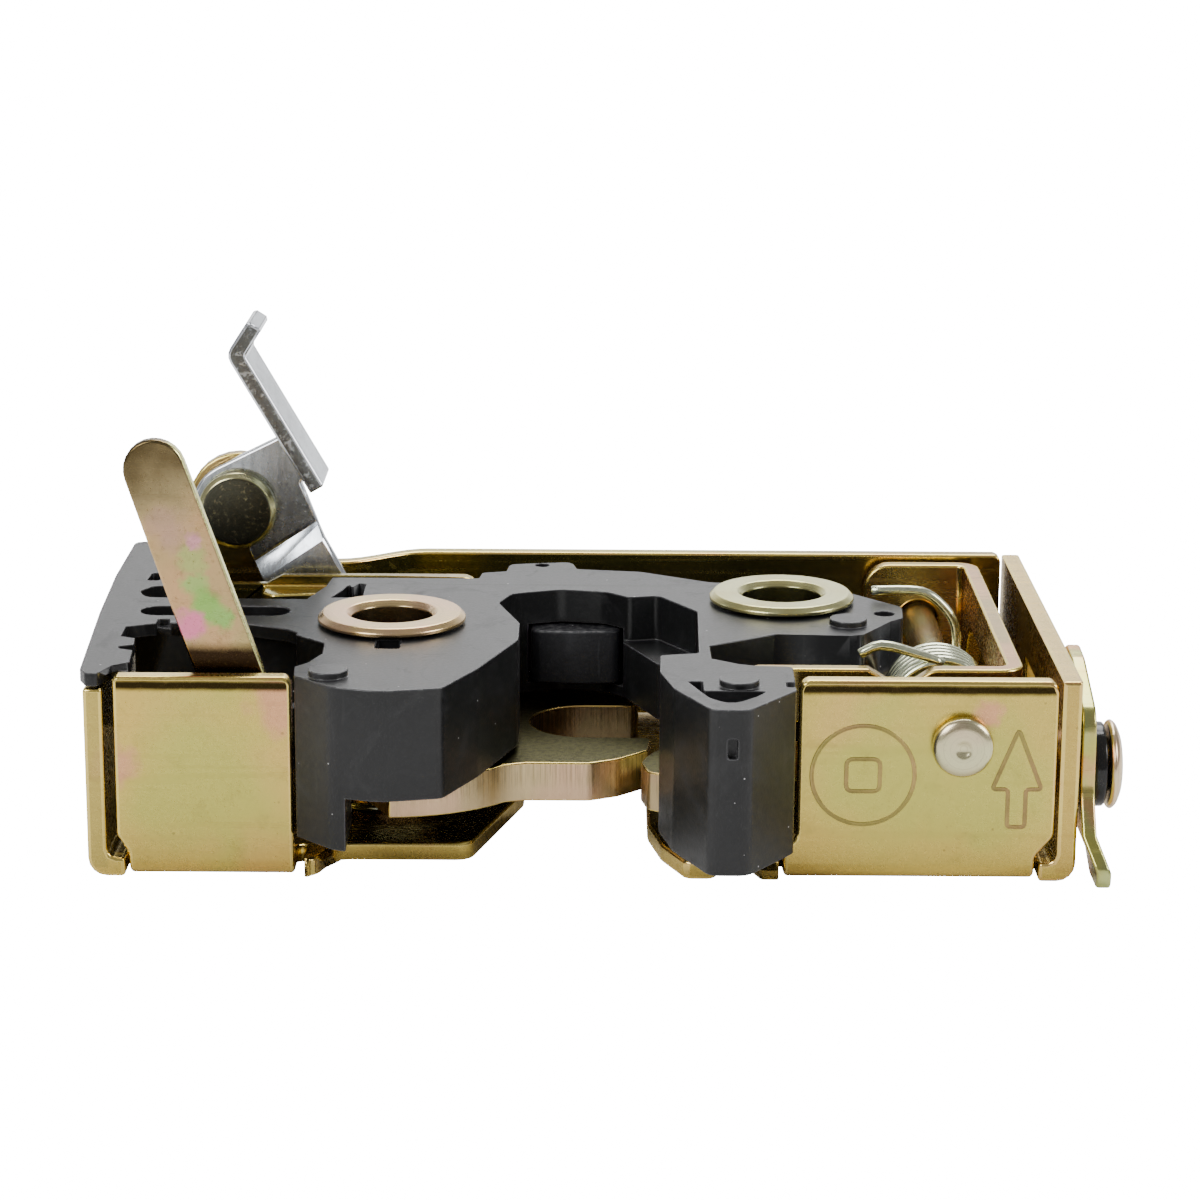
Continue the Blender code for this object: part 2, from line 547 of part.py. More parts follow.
def make_housing():
    """Return the plastic housing: thick core round the throat, thin left plate, skirts and pegs."""
    core = slab("plastic_housing", core_outline(), SKIRT_FLOOR, HOUSING_TOP, holes=[
        circle(CATCH_AXIS, BUSH_SHANK / 2 + PLAY),
        circle(PAWL_AXIS, BUSH_SHANK / 2 + PLAY),
        rounded(shifted(CATCH_AXIS, [
            (-7.4, 10.2, 0.2), (-3.9, 10.4, 0.2), (-3.9, 16.3, 0.2), (-4.7, 16.5, 0.1), (-5.3, 14.7, 0.1),
            (-5.8, 15.9, 0.1), (-6.3, 13.5, 0.1),
        ])),
        rounded(shifted(CATCH_AXIS, [(-1.1, -10.7, 0.3), (1.4, -10.7, 0.3), (1.4, -7.1, 0.3),
                                     (-1.1, -7.1, 0.3)])),
    ])
    # Below the floor only the left leg and the nose stay, and the nose ends clear of the pawl's sweep
    reach = pawl_reach() + GAP
    nose_side = THROAT_RIGHT - 0.1
    sweep_start = math.degrees(math.acos((nose_side - PAWL_AXIS[0]) / reach))
    sweep = arc(PAWL_AXIS, reach, -sweep_start, -70, 12)
    leg_side = CATCH_AXIS[0] - 3.2
    far = 2 * CASE_DEPTH
    hollow = slab("hollow", [
        Vector((leg_side, -far)), Vector((nose_side, -far)), *sweep, Vector((far, sweep[-1].y)),
        Vector((far, far)), Vector((-far, far)), Vector((-far, LEG_DEPTH)), Vector((leg_side, LEG_DEPTH)),
    ], SKIRT_FLOOR - 1, HOUSING_FLOOR)
    core = cut(core, hollow)
    rim = slab("rim", rim_outline(), HOUSING_TOP - RIM_PLATE, HOUSING_TOP, holes=[
        rounded([
            (CASE_LEFT + 2.8, CATCH_AXIS[1] + 2.2, 1.9), (CATCH_AXIS[0] - 11.1, CATCH_AXIS[1] + 2.4, 1.9),
            (CATCH_AXIS[0] - 11.3, CATCH_AXIS[1] + 6.2, 1.9), (CASE_LEFT + 2.5, CATCH_AXIS[1] + 6.1, 1.9),
        ]),
        rounded(shifted((CASE_LEFT, CATCH_AXIS[1]), [
            (1.5, 17.4, 0.3), (2.9, 17.4, 0.3), (2.9, 20.8, 0.3), (1.7, 20.8, 0.3),
        ])),
    ])
    # Two walls under the thin plate keep the opening and the slot behind the lock lever closed
    wall_left = CASE_LEFT + SHEET + 2 * GAP
    wall_right = CATCH_AXIS[0] - 7.3
    walls = []
    for front in (CATCH_AXIS[1] - 0.9, CATCH_AXIS[1] + 6.9):
        corners = [(wall_left, front), (wall_right, front), (wall_right, front + WALL_THICK),
                   (wall_left, front + WALL_THICK)]
        walls.append(slab("wall", corners, HOUSING_FLOOR, HOUSING_TOP - RIM_PLATE / 2))
    ledge = slab("ledge", rounded([
        (BUFFER_RIGHT + GAP, BUFFER_FRONT - 0.6, 0),
        *shifted((THROAT_RIGHT, THROAT_END), [(1.1, -11.0, 1), (5.8, -13.9, 0), (5.8, -3.4, 0), (1.3, 0, 0)]),
        (BUFFER_RIGHT + 2 * GAP, THROAT_END, 0),
    ]), HOUSING_FLOOR + GAP, LEDGE_TOP)
    carrier = slab("carrier", rounded([
        (LOCK_X - CARRIER_RADIUS, HOUSING_FLOOR - 0.2, 1), (CATCH_AXIS[0] - 5.9, HOUSING_FLOOR - 0.2, 0),
        (CATCH_AXIS[0] - 5.9, LOCK_Z + CARRIER_RADIUS, 0),
        (LOCK_X - CARRIER_RADIUS, LOCK_Z + CARRIER_RADIUS, 2),
    ]), CARRIER_FRONT, CARRIER_FRONT + CARRIER_THICK, "Y",
                   [circle((LOCK_X, LOCK_Z), LOCK_PIN_RADIUS + PLAY, 20)])
    housing = join(core, rim, *walls, ledge, carrier)
    peg_places = [
        (CATCH_AXIS[0] - 5.1, -0.5), (RIGHT_FLANGE_START - 6.2, -3.2),
        (PAWL_AXIS[0] + 6.6, PAWL_AXIS[1] - 9.5),
    ]
    for x, y in peg_places:
        peg = turned("peg", [(0, HOUSING_TOP + PEG_HEIGHT), (PEG_RADIUS, HOUSING_TOP + PEG_HEIGHT),
                             (PEG_RADIUS, HOUSING_TOP - 1), (0, HOUSING_TOP - 1)], (x, y, 0), "Z", 20)
        housing = join(housing, peg)
    buffer_seat = slab("seat", rounded([
        (BUFFER_LEFT - GAP, BUFFER_FRONT - 3, 0), (BUFFER_RIGHT + GAP, BUFFER_FRONT - 3, 0),
        (BUFFER_RIGHT + GAP, BUFFER_FRONT + BUFFER_DEPTH + GAP, 0.5),
        (BUFFER_LEFT - GAP, BUFFER_FRONT + BUFFER_DEPTH + GAP, 0.5),
    ]), HOUSING_FLOOR + SEAT_FLOOR, BUFFER_TOP + GAP)
    nose_top = (RIGHT_FLANGE_START, -NOSE_REACH)
    nose_recess = slab("recess", rounded(shifted(nose_top, [
        (-11.3, 10.2, 0.2), (-9.8, 10.2, 0.2), (-9.8, 6.8, 0.2), (-3.5, 6.8, 0.3), (-4.6, 5.0, 2),
        (-7.2, 2.0, 2), (-9.3, 4.4, 3),
    ])), HOUSING_TOP - 2, HOUSING_TOP + 1)
    nose_notch = slab("notch", rounded(shifted((RIGHT_FLANGE_START, 0), [
        (-1.5, -3.7, 0.2), (0.4, -3.7, 0), (0.4, -1.9, 0), (-1.5, -1.9, 0.2),
    ])), HOUSING_TOP - 2, HOUSING_TOP + 1)
    front_slot = slab("slot", rounded(shifted((RIGHT_FLANGE_START, HOUSING_TOP), [
        (-7.6, -5.0, 0.2), (-6.6, -5.0, 0.2), (-6.6, -3.0, 0.2), (-7.6, -3.0, 0.2),
    ])), -NOSE_REACH - 1, -NOSE_REACH + 1, "Y")
    spring_hole = slab("hole", circle((PIN_X - 6.0, PAWL_AXIS[1] - 4.9), 1.1, 16),
                       HOUSING_TOP - 3, HOUSING_TOP + 1)
    tab_hole = slab("hole", circle((THROAT_MIDDLE - 5.1, THROAT_END + 12.6), 0.8, 14),
                    HOUSING_TOP - 3, HOUSING_TOP + 1)
    return cut(housing, buffer_seat, nose_recess, nose_notch, front_slot, spring_hole, tab_hole)


def make_bush(name, axis):
    """Return a flanged bush: a tube through the case and the housing under a chamfered ring."""
    seat = HOUSING_TOP + GAP
    top = seat + RING_HEIGHT
    bore = BUSH_BORE / 2
    shank = BUSH_SHANK / 2
    ring = BUSH_RING / 2
    return turned(name, [
        (bore, 0), (bore, top - RING_CHAMFER), (bore + RING_CHAMFER, top), (ring - RING_CHAMFER, top),
        (ring, top - RING_CHAMFER), (ring, seat), (shank, seat), (shank, 0),
    ], (*axis, 0), "Z", 36)


def catch_outline():
    """Return the outline of the catch: hub, disc, front arm, round seat and rear arm."""
    x, y = SEAT
    arm_root = Vector((x - 8.3, y - 16.0))
    disc = arm_root - Vector(CATCH_AXIS)
    disc_end = math.degrees(math.atan2(disc.y, disc.x))
    front = [
        *arc(CATCH_AXIS, disc.length, disc_end - 45, disc_end, 8),
        *rounded([(x - 8.1, y - 15.3, 0), (x - 6.1, y - 15.3, 2), (x + 0.5, y - 15.3, 2),
                  (x + 3.5, y - 13.8, 3), (x + 6.7, y - 10.6, 0.8), (x + 7.1, y - SEAT_RADIUS, 0.8),
                  (x, y - SEAT_RADIUS, 0)])[1:-1],
    ]
    seat = arc(SEAT, SEAT_RADIUS, -90, -270, 16)
    rear = shifted(CATCH_AXIS, [(6.6, 14.0, 4), (4.6, 10.9, 0)])
    back = rounded([(x, y + SEAT_RADIUS, 0), (x + 5.9, y + SEAT_RADIUS, 1), (x + 5.6, y + 9.5, 2),
                    (x - 2.5, y + 15.0, 5), *rear])[1:-1]
    hub = arc(CATCH_AXIS, CATCH_HUB, 75, 255, 14)
    return front + seat + back + hub


def pawl_nose():
    """Return the corners of the pawl's nose, which stands before the catch's front arm."""
    return shifted(SEAT, [(7.4, -11.1, 1), (5.8, -14.7, 1.5), (6.5, -18.2, 1), (9.7, -20.1, 1.5)])


def pawl_reach():
    """Return how far the pawl's nose reaches from its axis, with play."""
    return max(math.dist(corner[:2], PAWL_AXIS) for corner in pawl_nose()) + 2 * PLAY


def pawl_outline():
    """Return the outline of the pawl: a hub and the arm with the nose."""
    roots = shifted(PAWL_AXIS, [(-7.6, -6.2, 0), (-10.6, -11.0, 3), (-5.0, -18.0, 6), (4.0, -9.0, 0)])
    arm = rounded([*roots[:2], *pawl_nose(), *roots[2:]])
    return arm[1:-1] + arc(PAWL_AXIS, PAWL_HUB, -60, 215, 22)


def make_flat_piece(name, outline, axis):
    """Return a thick plate piece with its pivot hole."""
    return slab(name, outline, PLATE_FLOOR, PLATE_FLOOR + PLATE_THICK,
                holes=[circle(axis, BUSH_SHANK / 2 + PLAY)])


def coil_points(centre, radius, axis, start, pitch, turns, first=0.0, steps=16):
    """Return the points of a coil: radius round centre, rising by pitch each turn along an axis."""
    points = []
    for step in range(int(turns * steps) + 1):
        angle = math.radians(first) + 2 * math.pi * step / steps
        along = start + pitch * step / steps
        across = radius * math.cos(angle)
        up = radius * math.sin(angle)
        if axis == "Z":
            points.append((centre[0] + across, centre[1] + up, along))
        else:
            points.append((centre[0] + across, along, centre[1] + up))
    return points


def make_hub_spring(name, axis, first):
    """Return the flat coil that lies on the base plate round a bush."""
    radius = BUSH_SHANK / 2 + 1.8
    thick = 0.9
    bottom = SHEET + GAP + thick / 2
    coil = coil_points(axis, radius, "Z", bottom, thick + 0.25, 1.4, first)
    end = Vector(coil[-1])
    outward = (end - Vector((*axis, end.z))).normalized()
    leg = [tuple(end + outward * 4.0)]
    return wire(name, coil + leg, thick / 2)


def make_buffer():
    """Return the rubber buffer with its slightly rounded face."""
    back = BUFFER_FRONT + BUFFER_DEPTH
    return slab("rubber_buffer", rounded([
        (BUFFER_LEFT, BUFFER_FRONT + 0.5, 1.2), ((BUFFER_LEFT + BUFFER_RIGHT) / 2, BUFFER_FRONT, 14),
        (BUFFER_RIGHT, BUFFER_FRONT + 0.5, 1.2), (BUFFER_RIGHT, back, 0.6), (BUFFER_LEFT, back, 0.6),
    ]), HOUSING_FLOOR + SEAT_FLOOR + GAP, BUFFER_TOP)


def make_release_pin():
    """Return the pin of the release bracket, riveted in the front flange."""
    head = PIN_HEAD_RADIUS
    return turned("release_pin", [
        (0, -GAP - PIN_HEAD), (head - 0.8, -GAP - PIN_HEAD), (head, -GAP - PIN_HEAD + 0.7), (head, -GAP),
        (PIN_RADIUS, -GAP), (PIN_RADIUS, BACK_FACE - GAP), (0, BACK_FACE - GAP),
    ], (PIN_X, 0, PIN_Z), "Y", 28)


def make_release_bracket():
    """Return the U-shaped bracket: two ears and the web between them, folded from one sheet."""
    sheet = BRACKET_SHEET
    right = BRACKET_RIGHT
    web = right - sheet
    back_left = PIN_X - 6.2
    low = PIN_Z - 5.1
    dip = BRACKET_TOP - 1.6
    body = slab("release_bracket", rounded([
        (BRACKET_LEFT - 1, BRACKET_FRONT, 0), (right, BRACKET_FRONT, 2.6), (right, BRACKET_BACK, 2.6),
        (back_left - 1, BRACKET_BACK, 0), (back_left - 1, BRACKET_BACK - sheet, 0),
        (web, BRACKET_BACK - sheet, 0.8), (web, BRACKET_FRONT + sheet, 0.8),
        (BRACKET_LEFT - 1, BRACKET_FRONT + sheet, 0),
    ]), low - 1, BRACKET_TOP + 1)
    front = slab("ear", rounded([
        (BRACKET_LEFT, PIN_Z + 0.8, 1.2), (PIN_X - 8.6, PIN_Z + 0.8, 3), (PIN_X - 4.2, low, 4),
        (right + 1, low, 0),
        (right + 1, BRACKET_TOP, 0), (PIN_X - 2.6, BRACKET_TOP, 1.6), (PIN_X - 5.0, dip, 0.8),
        (PIN_X - 6.6, dip, 0.8), (PIN_X - 9.2, BRACKET_TOP, 0.8), (BRACKET_LEFT, BRACKET_TOP, 1.2),
    ]), BRACKET_FRONT - 1, BRACKET_FRONT + 7, "Y")
    back = slab("ear", rounded([
        (back_left + 1.6, low, 3.5), (right + 1, low, 0), (right + 1, BRACKET_TOP, 0),
        (back_left, BRACKET_TOP, 4.5), (back_left, PIN_Z + 1, 2),
    ]), BRACKET_BACK - 6, BRACKET_BACK + 1, "Y")
    middle = slab("web", rounded([
        (BRACKET_FRONT + 6.5, low, 0), (BRACKET_FRONT + 11, PIN_Z + 1.4, 3),
        (BRACKET_BACK - 10, PIN_Z + 1.4, 3), (BRACKET_BACK - 5.5, low, 0),
        (BRACKET_BACK - 5.5, BRACKET_TOP, 0), (BRACKET_FRONT + 6.5, BRACKET_TOP, 0),
    ]), web - 2, right + 1, "X")
    bracket = trim(body, join(front, back, middle))
    radius = PIN_RADIUS + PLAY
    return cut(bracket, turned("hole", [(0, 0), (radius, 0), (radius, CASE_DEPTH), (0, CASE_DEPTH)],
                               (PIN_X, 0, PIN_Z), "Y", 24))


def make_release_spring():
    """Return the torsion spring, which hangs loosely round the pin between the bracket and the housing."""
    pitch = SPRING_WIRE + 0.1
    middle = (PIN_X - 1.4, PIN_Z + 1.3)
    coil = coil_points(middle, SPRING_RADIUS, "Y", SPRING_FRONT, pitch, SPRING_TURNS + 0.75, 90, 20)
    top = middle[1] + SPRING_RADIUS
    front_leg = [(middle[0] - 8.6, SPRING_FRONT, top + 0.9), (middle[0] - 6.3, SPRING_FRONT, top + 1.9),
                 (middle[0] - 3.0, SPRING_FRONT, top + 1.1)]
    end = Vector(coil[-1])
    rest = HOUSING_TOP + GAP + SPRING_WIRE / 2
    leg_y = PAWL_AXIS[1] + 1.5
    back_leg = [(end.x, leg_y - 3, end.z + 0.4), (PIN_X + 2.2, leg_y - 0.3, rest - 4.2),
                (PIN_X + 1.0, leg_y, rest - 1.8), (PIN_X - 0.8, leg_y, rest - 0.4),
                (PIN_X - 2.8, leg_y, rest), (PIN_X - 7.0, leg_y - 0.3, rest)]
    return wire("release_spring", front_leg + coil + back_leg, SPRING_WIRE / 2)


def make_stud():
    """Return the stud of the outside lever: inner head, shank and domed outer head."""
    inner = CASE_RIGHT - SHEET - GAP
    outer = CASE_RIGHT + GAP + LEVER_SHEET + GAP + WASHER_THICK + GAP
    head = STUD_HEAD_RADIUS
    return turned("lever_stud", [
        (0, inner - 1), (3.8, inner - 1), (3.8, inner), (STUD_RADIUS, inner), (STUD_RADIUS, outer),
        (head - 0.3, outer), (head, outer + 0.4), (head - 0.4, outer + STUD_HEAD * 0.6),
        (head - 1.6, outer + STUD_HEAD * 0.93), (0, outer + STUD_HEAD),
    ], (0, STUD_Y, STUD_Z), "X", 28)


def make_washer():
    """Return the dark washer between the outside lever and its stud's head."""
    low = CASE_RIGHT + GAP + LEVER_SHEET + GAP
    inner = STUD_RADIUS + PLAY
    outer = STUD_HEAD_RADIUS - 0.3
    return turned("lever_washer", [
        (inner, low), (inner, low + WASHER_THICK), (outer, low + WASHER_THICK), (outer, low),
    ], (0, STUD_Y, STUD_Z), "X", 28)


def make_outside_lever():
    """Return the lever on the right wall, whose lower arm splays away from the case."""
    low = CASE_RIGHT + GAP
    y, z = STUD_Y, STUD_Z
    lever = slab("outside_lever", rounded([
        (y + 3.2, z - 5.6, 3), (y + 7.0, z + 1.0, 4), (y + 9.8, z + 8.0, 2.5), (y + 8.6, z + 10.8, 2),
        (y + 3.6, z + 10.4, 3), (y - 6.4, z + 7.2, 3), (y - 6.8, z - 1.0, 3), (y - 11.6, z - 7.4, 1),
        (y - 11.9, z - 9.8, 1.2), (y - 6.4, z - 9.8, 2),
    ]), low, low + LEVER_SHEET, "X", [circle((y, z), STUD_RADIUS + PLAY, 28)])
    splay_top = z - 4.8
    splay_end = z - 8.0
    split_across(lever, [splay_top, splay_end], "Z")
    for vertex in lever.data.vertices:
        down = (splay_top - vertex.co.z / MM) / (splay_top - splay_end)
        vertex.co.x += LEVER_SPLAY * min(max(down, 0), 1) * MM
    return lever


def make_inside_rivet():
    """Return the rivet that joins the inside lever to the ear."""
    front = EAR_FACE - GAP - INSIDE_SHEET - GAP
    back = EAR_FACE + SHEET + GAP
    head = RIVET_HEAD_RADIUS
    return turned("inside_rivet", [
        (0, front - RIVET_HEAD), (head - 0.6, front - RIVET_HEAD), (head, front - RIVET_HEAD + 0.6),
        (head, front), (RIVET_RADIUS, front), (RIVET_RADIUS, back), (head - 0.6, back),
        (head - 0.6, back + 0.8), (0, back + 0.8),
    ], (RIVET_X, 0, RIVET_Z), "Y", 32)


def make_inside_lever():
    """Return the bright inside lever: pivot plate, joggled tail and the folded handle strip."""
    back = EAR_FACE - GAP
    front = back - INSIDE_SHEET
    x, z = RIVET_X, RIVET_Z
    plate_outline = arc((x, z), EAR_RADIUS - 0.7, 117, 235, 12) + rounded(shifted((x, z), [
        (1.0, -5.0, 1), (2.9, -8.1, 0.8), (5.4, -12.0, 0.5), (14.6, -12.0, 0.5), (9.0, -1.9, 1.5),
        (7.1, 3.0, 0.5), (8.3, 4.8, 0), (6.0, 8.8, 0),
    ]))
    plate = slab("inside_lever", plate_outline, front, back, "Y", [circle((x, z), RIVET_RADIUS + PLAY, 28)])
    # The tail steps forward along a slanting band, so the split planes lean as the band does
    lean = Vector((0.83, 0, 0.56))
    across = Vector((-0.56, 0, 0.83))
    middle = Vector((x + 5.8, 0, z - 4.6))
    shape = bmesh.new()
    shape.from_mesh(plate.data)
    for offset in (-1.1, 1.1):
        parts = shape.verts[:] + shape.edges[:] + shape.faces[:]
        bmesh.ops.bisect_plane(shape, geom=parts, plane_co=(middle + across * offset) * MM,
                               plane_no=across, dist=0.000001)
    for vertex in shape.verts:
        down = (1.1 - (vertex.co / MM - middle).dot(across)) / 2.2
        vertex.co.y -= INSIDE_STEP * min(max(down, 0), 1) * MM
    shape.to_mesh(plate.data)
    shape.free()
    sheet = INSIDE_SHEET
    foot = Vector((x + 9.3, z + 3.1))
    bend = Vector((x + 0.5, z + 18.2))
    tip = Vector((x + 2.7, z + 21.6))
    along = (bend - foot).normalized()
    side = Vector((-along.y, along.x)) * sheet / 2
    out = (tip - bend).normalized()
    top_side = Vector((-out.y, out.x)) * sheet / 2
    inner_bend = bend + (along * -0.9 + out * 0.9).normalized() * sheet * 0.62
    outer_bend = bend - (along * -0.9 + out * 0.9).normalized() * sheet * 0.62
    strip = [(*(foot - side), 0), (*inner_bend, 0.4), (*(tip - top_side), 0.3), (*(tip + top_side), 0.3),
             (*outer_bend, 1.6), (*(foot + side), 0)]
    handle = slab("handle", rounded(strip), HANDLE_FRONT, HANDLE_BACK, "Y")
    return join(plate, handle)


def make_transfer_bar():
    """Return the bar behind the housing, with the lip that is pressed forward from its top."""
    top = BAR_TOP
    bar = slab("transfer_bar", rounded([
        (BAR_LEFT, BAR_FLOOR, 1.5), (BAR_RIGHT, BAR_FLOOR, 1.5), (BAR_RIGHT, top, 1),
        (BAR_LEFT + 10.4, top, 0.3), (BAR_LEFT + 8.6, top - 1.0, 0.3), (BAR_LEFT + 4.2, top - 1.0, 0.3),
        (BAR_LEFT + 3.5, top - 1.9, 0.3), (BAR_LEFT, top - 1.9, 1.5),
    ]), BAR_FRONT, BAR_FRONT + BAR_SHEET, "Y")
    lip_left = BAR_LEFT + 8.4
    lip_right = BAR_LEFT + 15.4
    lip = slab("lip", rounded([
        (lip_left, BAR_FRONT - 2.4, 0.8), (lip_left + 1.2, BAR_FRONT - 3.8, 0.8),
        (lip_right, BAR_FRONT - 2.8, 0.4), (lip_right, BAR_FRONT + 0.8, 0), (lip_left, BAR_FRONT + 0.8, 0),
    ]), top - 2.6, top - 1.2)
    return join(bar, lip)


def make_lock_lever():
    """Return the straight lock lever, a strip with a round foot on its pin and a narrower round top."""
    top = LOCK_LENGTH - LOCK_TOP_WIDTH / 2
    outline = arc((0, top), LOCK_TOP_WIDTH / 2, 0, 180, 12) + arc((0, 0), LOCK_WIDTH / 2, 180, 360, 12)
    turn = Matrix.Rotation(math.radians(LOCK_TILT), 2)
    outline = [turn @ point + Vector((LOCK_X, LOCK_Z)) for point in outline]
    return slab("lock_lever", outline, LOCK_FRONT, LOCK_FRONT + LOCK_SHEET, "Y",
                [circle((LOCK_X, LOCK_Z), LOCK_PIN_RADIUS + PLAY, 20)])


def make_lock_pin():
    """Return the pin of the lock lever, riveted in the housing's carrier."""
    front = SHEET + GAP
    radius = LOCK_PIN_RADIUS
    head = radius + 1.0
    tail = CARRIER_FRONT + CARRIER_THICK + GAP
    return turned("lock_pin", [
        (0, front), (head, front), (head, front + LOCK_PIN_HEAD), (radius, front + LOCK_PIN_HEAD),
        (radius, tail), (head - 0.3, tail), (head - 0.3, tail + 0.7), (0, tail + 0.7),
    ], (LOCK_X, 0, LOCK_Z), "Y", 20)


def build():
    """Make every piece of the lock."""
    zinc = paint("yellow_zinc", (0.62, 0.52, 0.28), 0.32, 1.0)
    raw = paint("sheared_yellow_zinc", (0.55, 0.44, 0.28), 0.42, 1.0)
    bright = paint("bright_zinc", (0.72, 0.74, 0.76), 0.3, 1.0)
    plastic = paint("black_plastic", (0.022, 0.022, 0.024), 0.45, 0.0)
    rubber = paint("black_rubber", (0.014, 0.014, 0.015), 0.7, 0.0)
    steel = paint("spring_steel", (0.6, 0.62, 0.55), 0.35, 1.0)

    place(make_case(), zinc)
    place(make_back_plate(), zinc)
    place(make_housing(), plastic)
    place(make_buffer(), rubber)
    place(make_bush("catch_bush", CATCH_AXIS), zinc)
    place(make_bush("pawl_bush", PAWL_AXIS), zinc)
    place(make_hub_spring("catch_spring", CATCH_AXIS, 150), steel)
    place(make_hub_spring("pawl_spring", PAWL_AXIS, 20), steel)
    place(make_flat_piece("catch", catch_outline(), CATCH_AXIS), raw, (*CATCH_AXIS, PLATE_FLOOR))
    place(make_flat_piece("pawl", pawl_outline(), PAWL_AXIS), raw, (*PAWL_AXIS, PLATE_FLOOR))
    place(make_release_pin(), zinc)
    place(make_release_bracket(), zinc, (PIN_X, BRACKET_FRONT, PIN_Z))
    place(make_release_spring(), steel)
    place(make_stud(), zinc)
    place(make_washer(), rubber)
    place(make_outside_lever(), zinc, (CASE_RIGHT + GAP, STUD_Y, STUD_Z))
    place(make_inside_rivet(), zinc)
    place(make_inside_lever(), bright, (RIVET_X, EAR_FACE, RIVET_Z))
    place(make_transfer_bar(), zinc, (BAR_LEFT, BAR_FRONT, BAR_FLOOR))
    place(make_lock_pin(), zinc)
    place(make_lock_lever(), zinc, (LOCK_X, SHEET, LOCK_Z))


for leftover in list(bpy.data.objects):
    bpy.data.objects.remove(leftover)
LOCK = bpy.data.collections.new("car_door_lock")
bpy.context.scene.collection.children.link(LOCK)
FRAME = bpy.data.objects.new("lock_frame", None)
LOCK.objects.link(FRAME)
FRAME.location = (-(BOX_LEFT + BOX_RIGHT) / 2 * MM, -(BOX_FRONT + BOX_BACK) / 2 * MM, 0)
build()
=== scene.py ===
# %% [markdown]
# # The looks of a car door lock
# The lock is a folded steel case with yellow passivated zinc on it, round a black plastic housing. Its
# solids come from the frame, at their real size. This lesson gives each piece soft edges, a finish and
# the small forms that catch the light, and it works through them piece by piece.

# %% Load the frame
import json
import math

import bmesh
import bpy
import numpy as np
from mathutils import Matrix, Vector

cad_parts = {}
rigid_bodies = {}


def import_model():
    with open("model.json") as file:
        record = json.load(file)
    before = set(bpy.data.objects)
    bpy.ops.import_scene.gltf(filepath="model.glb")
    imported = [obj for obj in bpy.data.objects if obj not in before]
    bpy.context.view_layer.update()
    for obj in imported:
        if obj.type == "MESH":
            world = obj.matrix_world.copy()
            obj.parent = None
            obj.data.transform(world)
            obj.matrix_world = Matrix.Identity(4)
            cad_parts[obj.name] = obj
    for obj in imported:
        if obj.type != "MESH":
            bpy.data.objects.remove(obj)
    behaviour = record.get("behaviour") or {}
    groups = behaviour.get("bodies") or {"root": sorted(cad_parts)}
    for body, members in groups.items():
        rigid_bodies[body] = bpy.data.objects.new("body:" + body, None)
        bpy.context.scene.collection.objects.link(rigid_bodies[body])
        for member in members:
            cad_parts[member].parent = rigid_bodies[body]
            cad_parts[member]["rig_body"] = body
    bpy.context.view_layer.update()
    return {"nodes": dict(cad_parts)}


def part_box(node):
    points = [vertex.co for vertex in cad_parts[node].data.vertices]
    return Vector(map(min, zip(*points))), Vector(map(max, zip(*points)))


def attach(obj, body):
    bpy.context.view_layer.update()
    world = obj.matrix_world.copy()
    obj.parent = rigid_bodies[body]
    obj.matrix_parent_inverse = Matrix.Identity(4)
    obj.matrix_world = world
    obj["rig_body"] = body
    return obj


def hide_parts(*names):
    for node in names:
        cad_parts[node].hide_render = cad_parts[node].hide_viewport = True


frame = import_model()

MM = 0.001

# %% [markdown]
# The photograph was taken from the front and a little above, with a long lens. A camera in Blender looks
# down its own Z axis, so it is first turned to look along +Y, then pitched down and rolled a little.

# %% The camera
CAMERA_PLACE = (0.2 * MM, -340.7 * MM, 111.8 * MM)
PITCH_DOWN = math.radians(14.5)
ROLL = math.radians(0.35)

camera = bpy.data.objects.new("camera", bpy.data.cameras.new("camera"))
camera.data.lens = 99.0
camera.data.sensor_width = 36.0
camera.data.clip_start = 0.01
camera.data.clip_end = 20.0
camera.matrix_world = (Matrix.Translation(CAMERA_PLACE) @ Matrix.Rotation(math.pi / 2 - PITCH_DOWN, 4, "X")
                       @ Matrix.Rotation(ROLL, 4, "Z"))
bpy.context.scene.collection.objects.link(camera)
bpy.context.scene.camera = camera
print("camera at", CAMERA_PLACE)

# %% [markdown]
# Every new surface here is a grid of points that numpy works out at once: one function turns such a grid
# into a mesh. A grid can close on itself along either way, as a ring or a tube does.


# %% A mesh from a grid of points
def grid_faces(rows, columns, close_rows, close_columns):
    """Return the corners of each cell of a grid: point (i, j) has the number i * columns + j."""
    i, j = np.meshgrid(np.arange(rows - (not close_rows)), np.arange(columns - (not close_columns)),
                       indexing="ij")
    after_i = (i + 1) % rows
    after_j = (j + 1) % columns
    corners = [i * columns + j, i * columns + after_j, after_i * columns + after_j, after_i * columns + j]
    return np.stack(corners, axis=-1).reshape(-1, 4)


def add_piece(name, mesh, material):
    """Link a mesh as an object at the origin, with its finish."""
    piece = bpy.data.objects.new(name, mesh)
    bpy.context.scene.collection.objects.link(piece)
    mesh.materials.clear()
    mesh.materials.append(material)
    return piece


def tidy_mesh(mesh):
    """Merge a mesh's doubled points, turn its faces outwards and shade it smooth."""
    shape = bmesh.new()
    shape.from_mesh(mesh)
    bmesh.ops.remove_doubles(shape, verts=shape.verts, dist=1e-6)
    bmesh.ops.recalc_face_normals(shape, faces=shape.faces)
    shape.to_mesh(mesh)
    shape.free()
    mesh.shade_smooth()


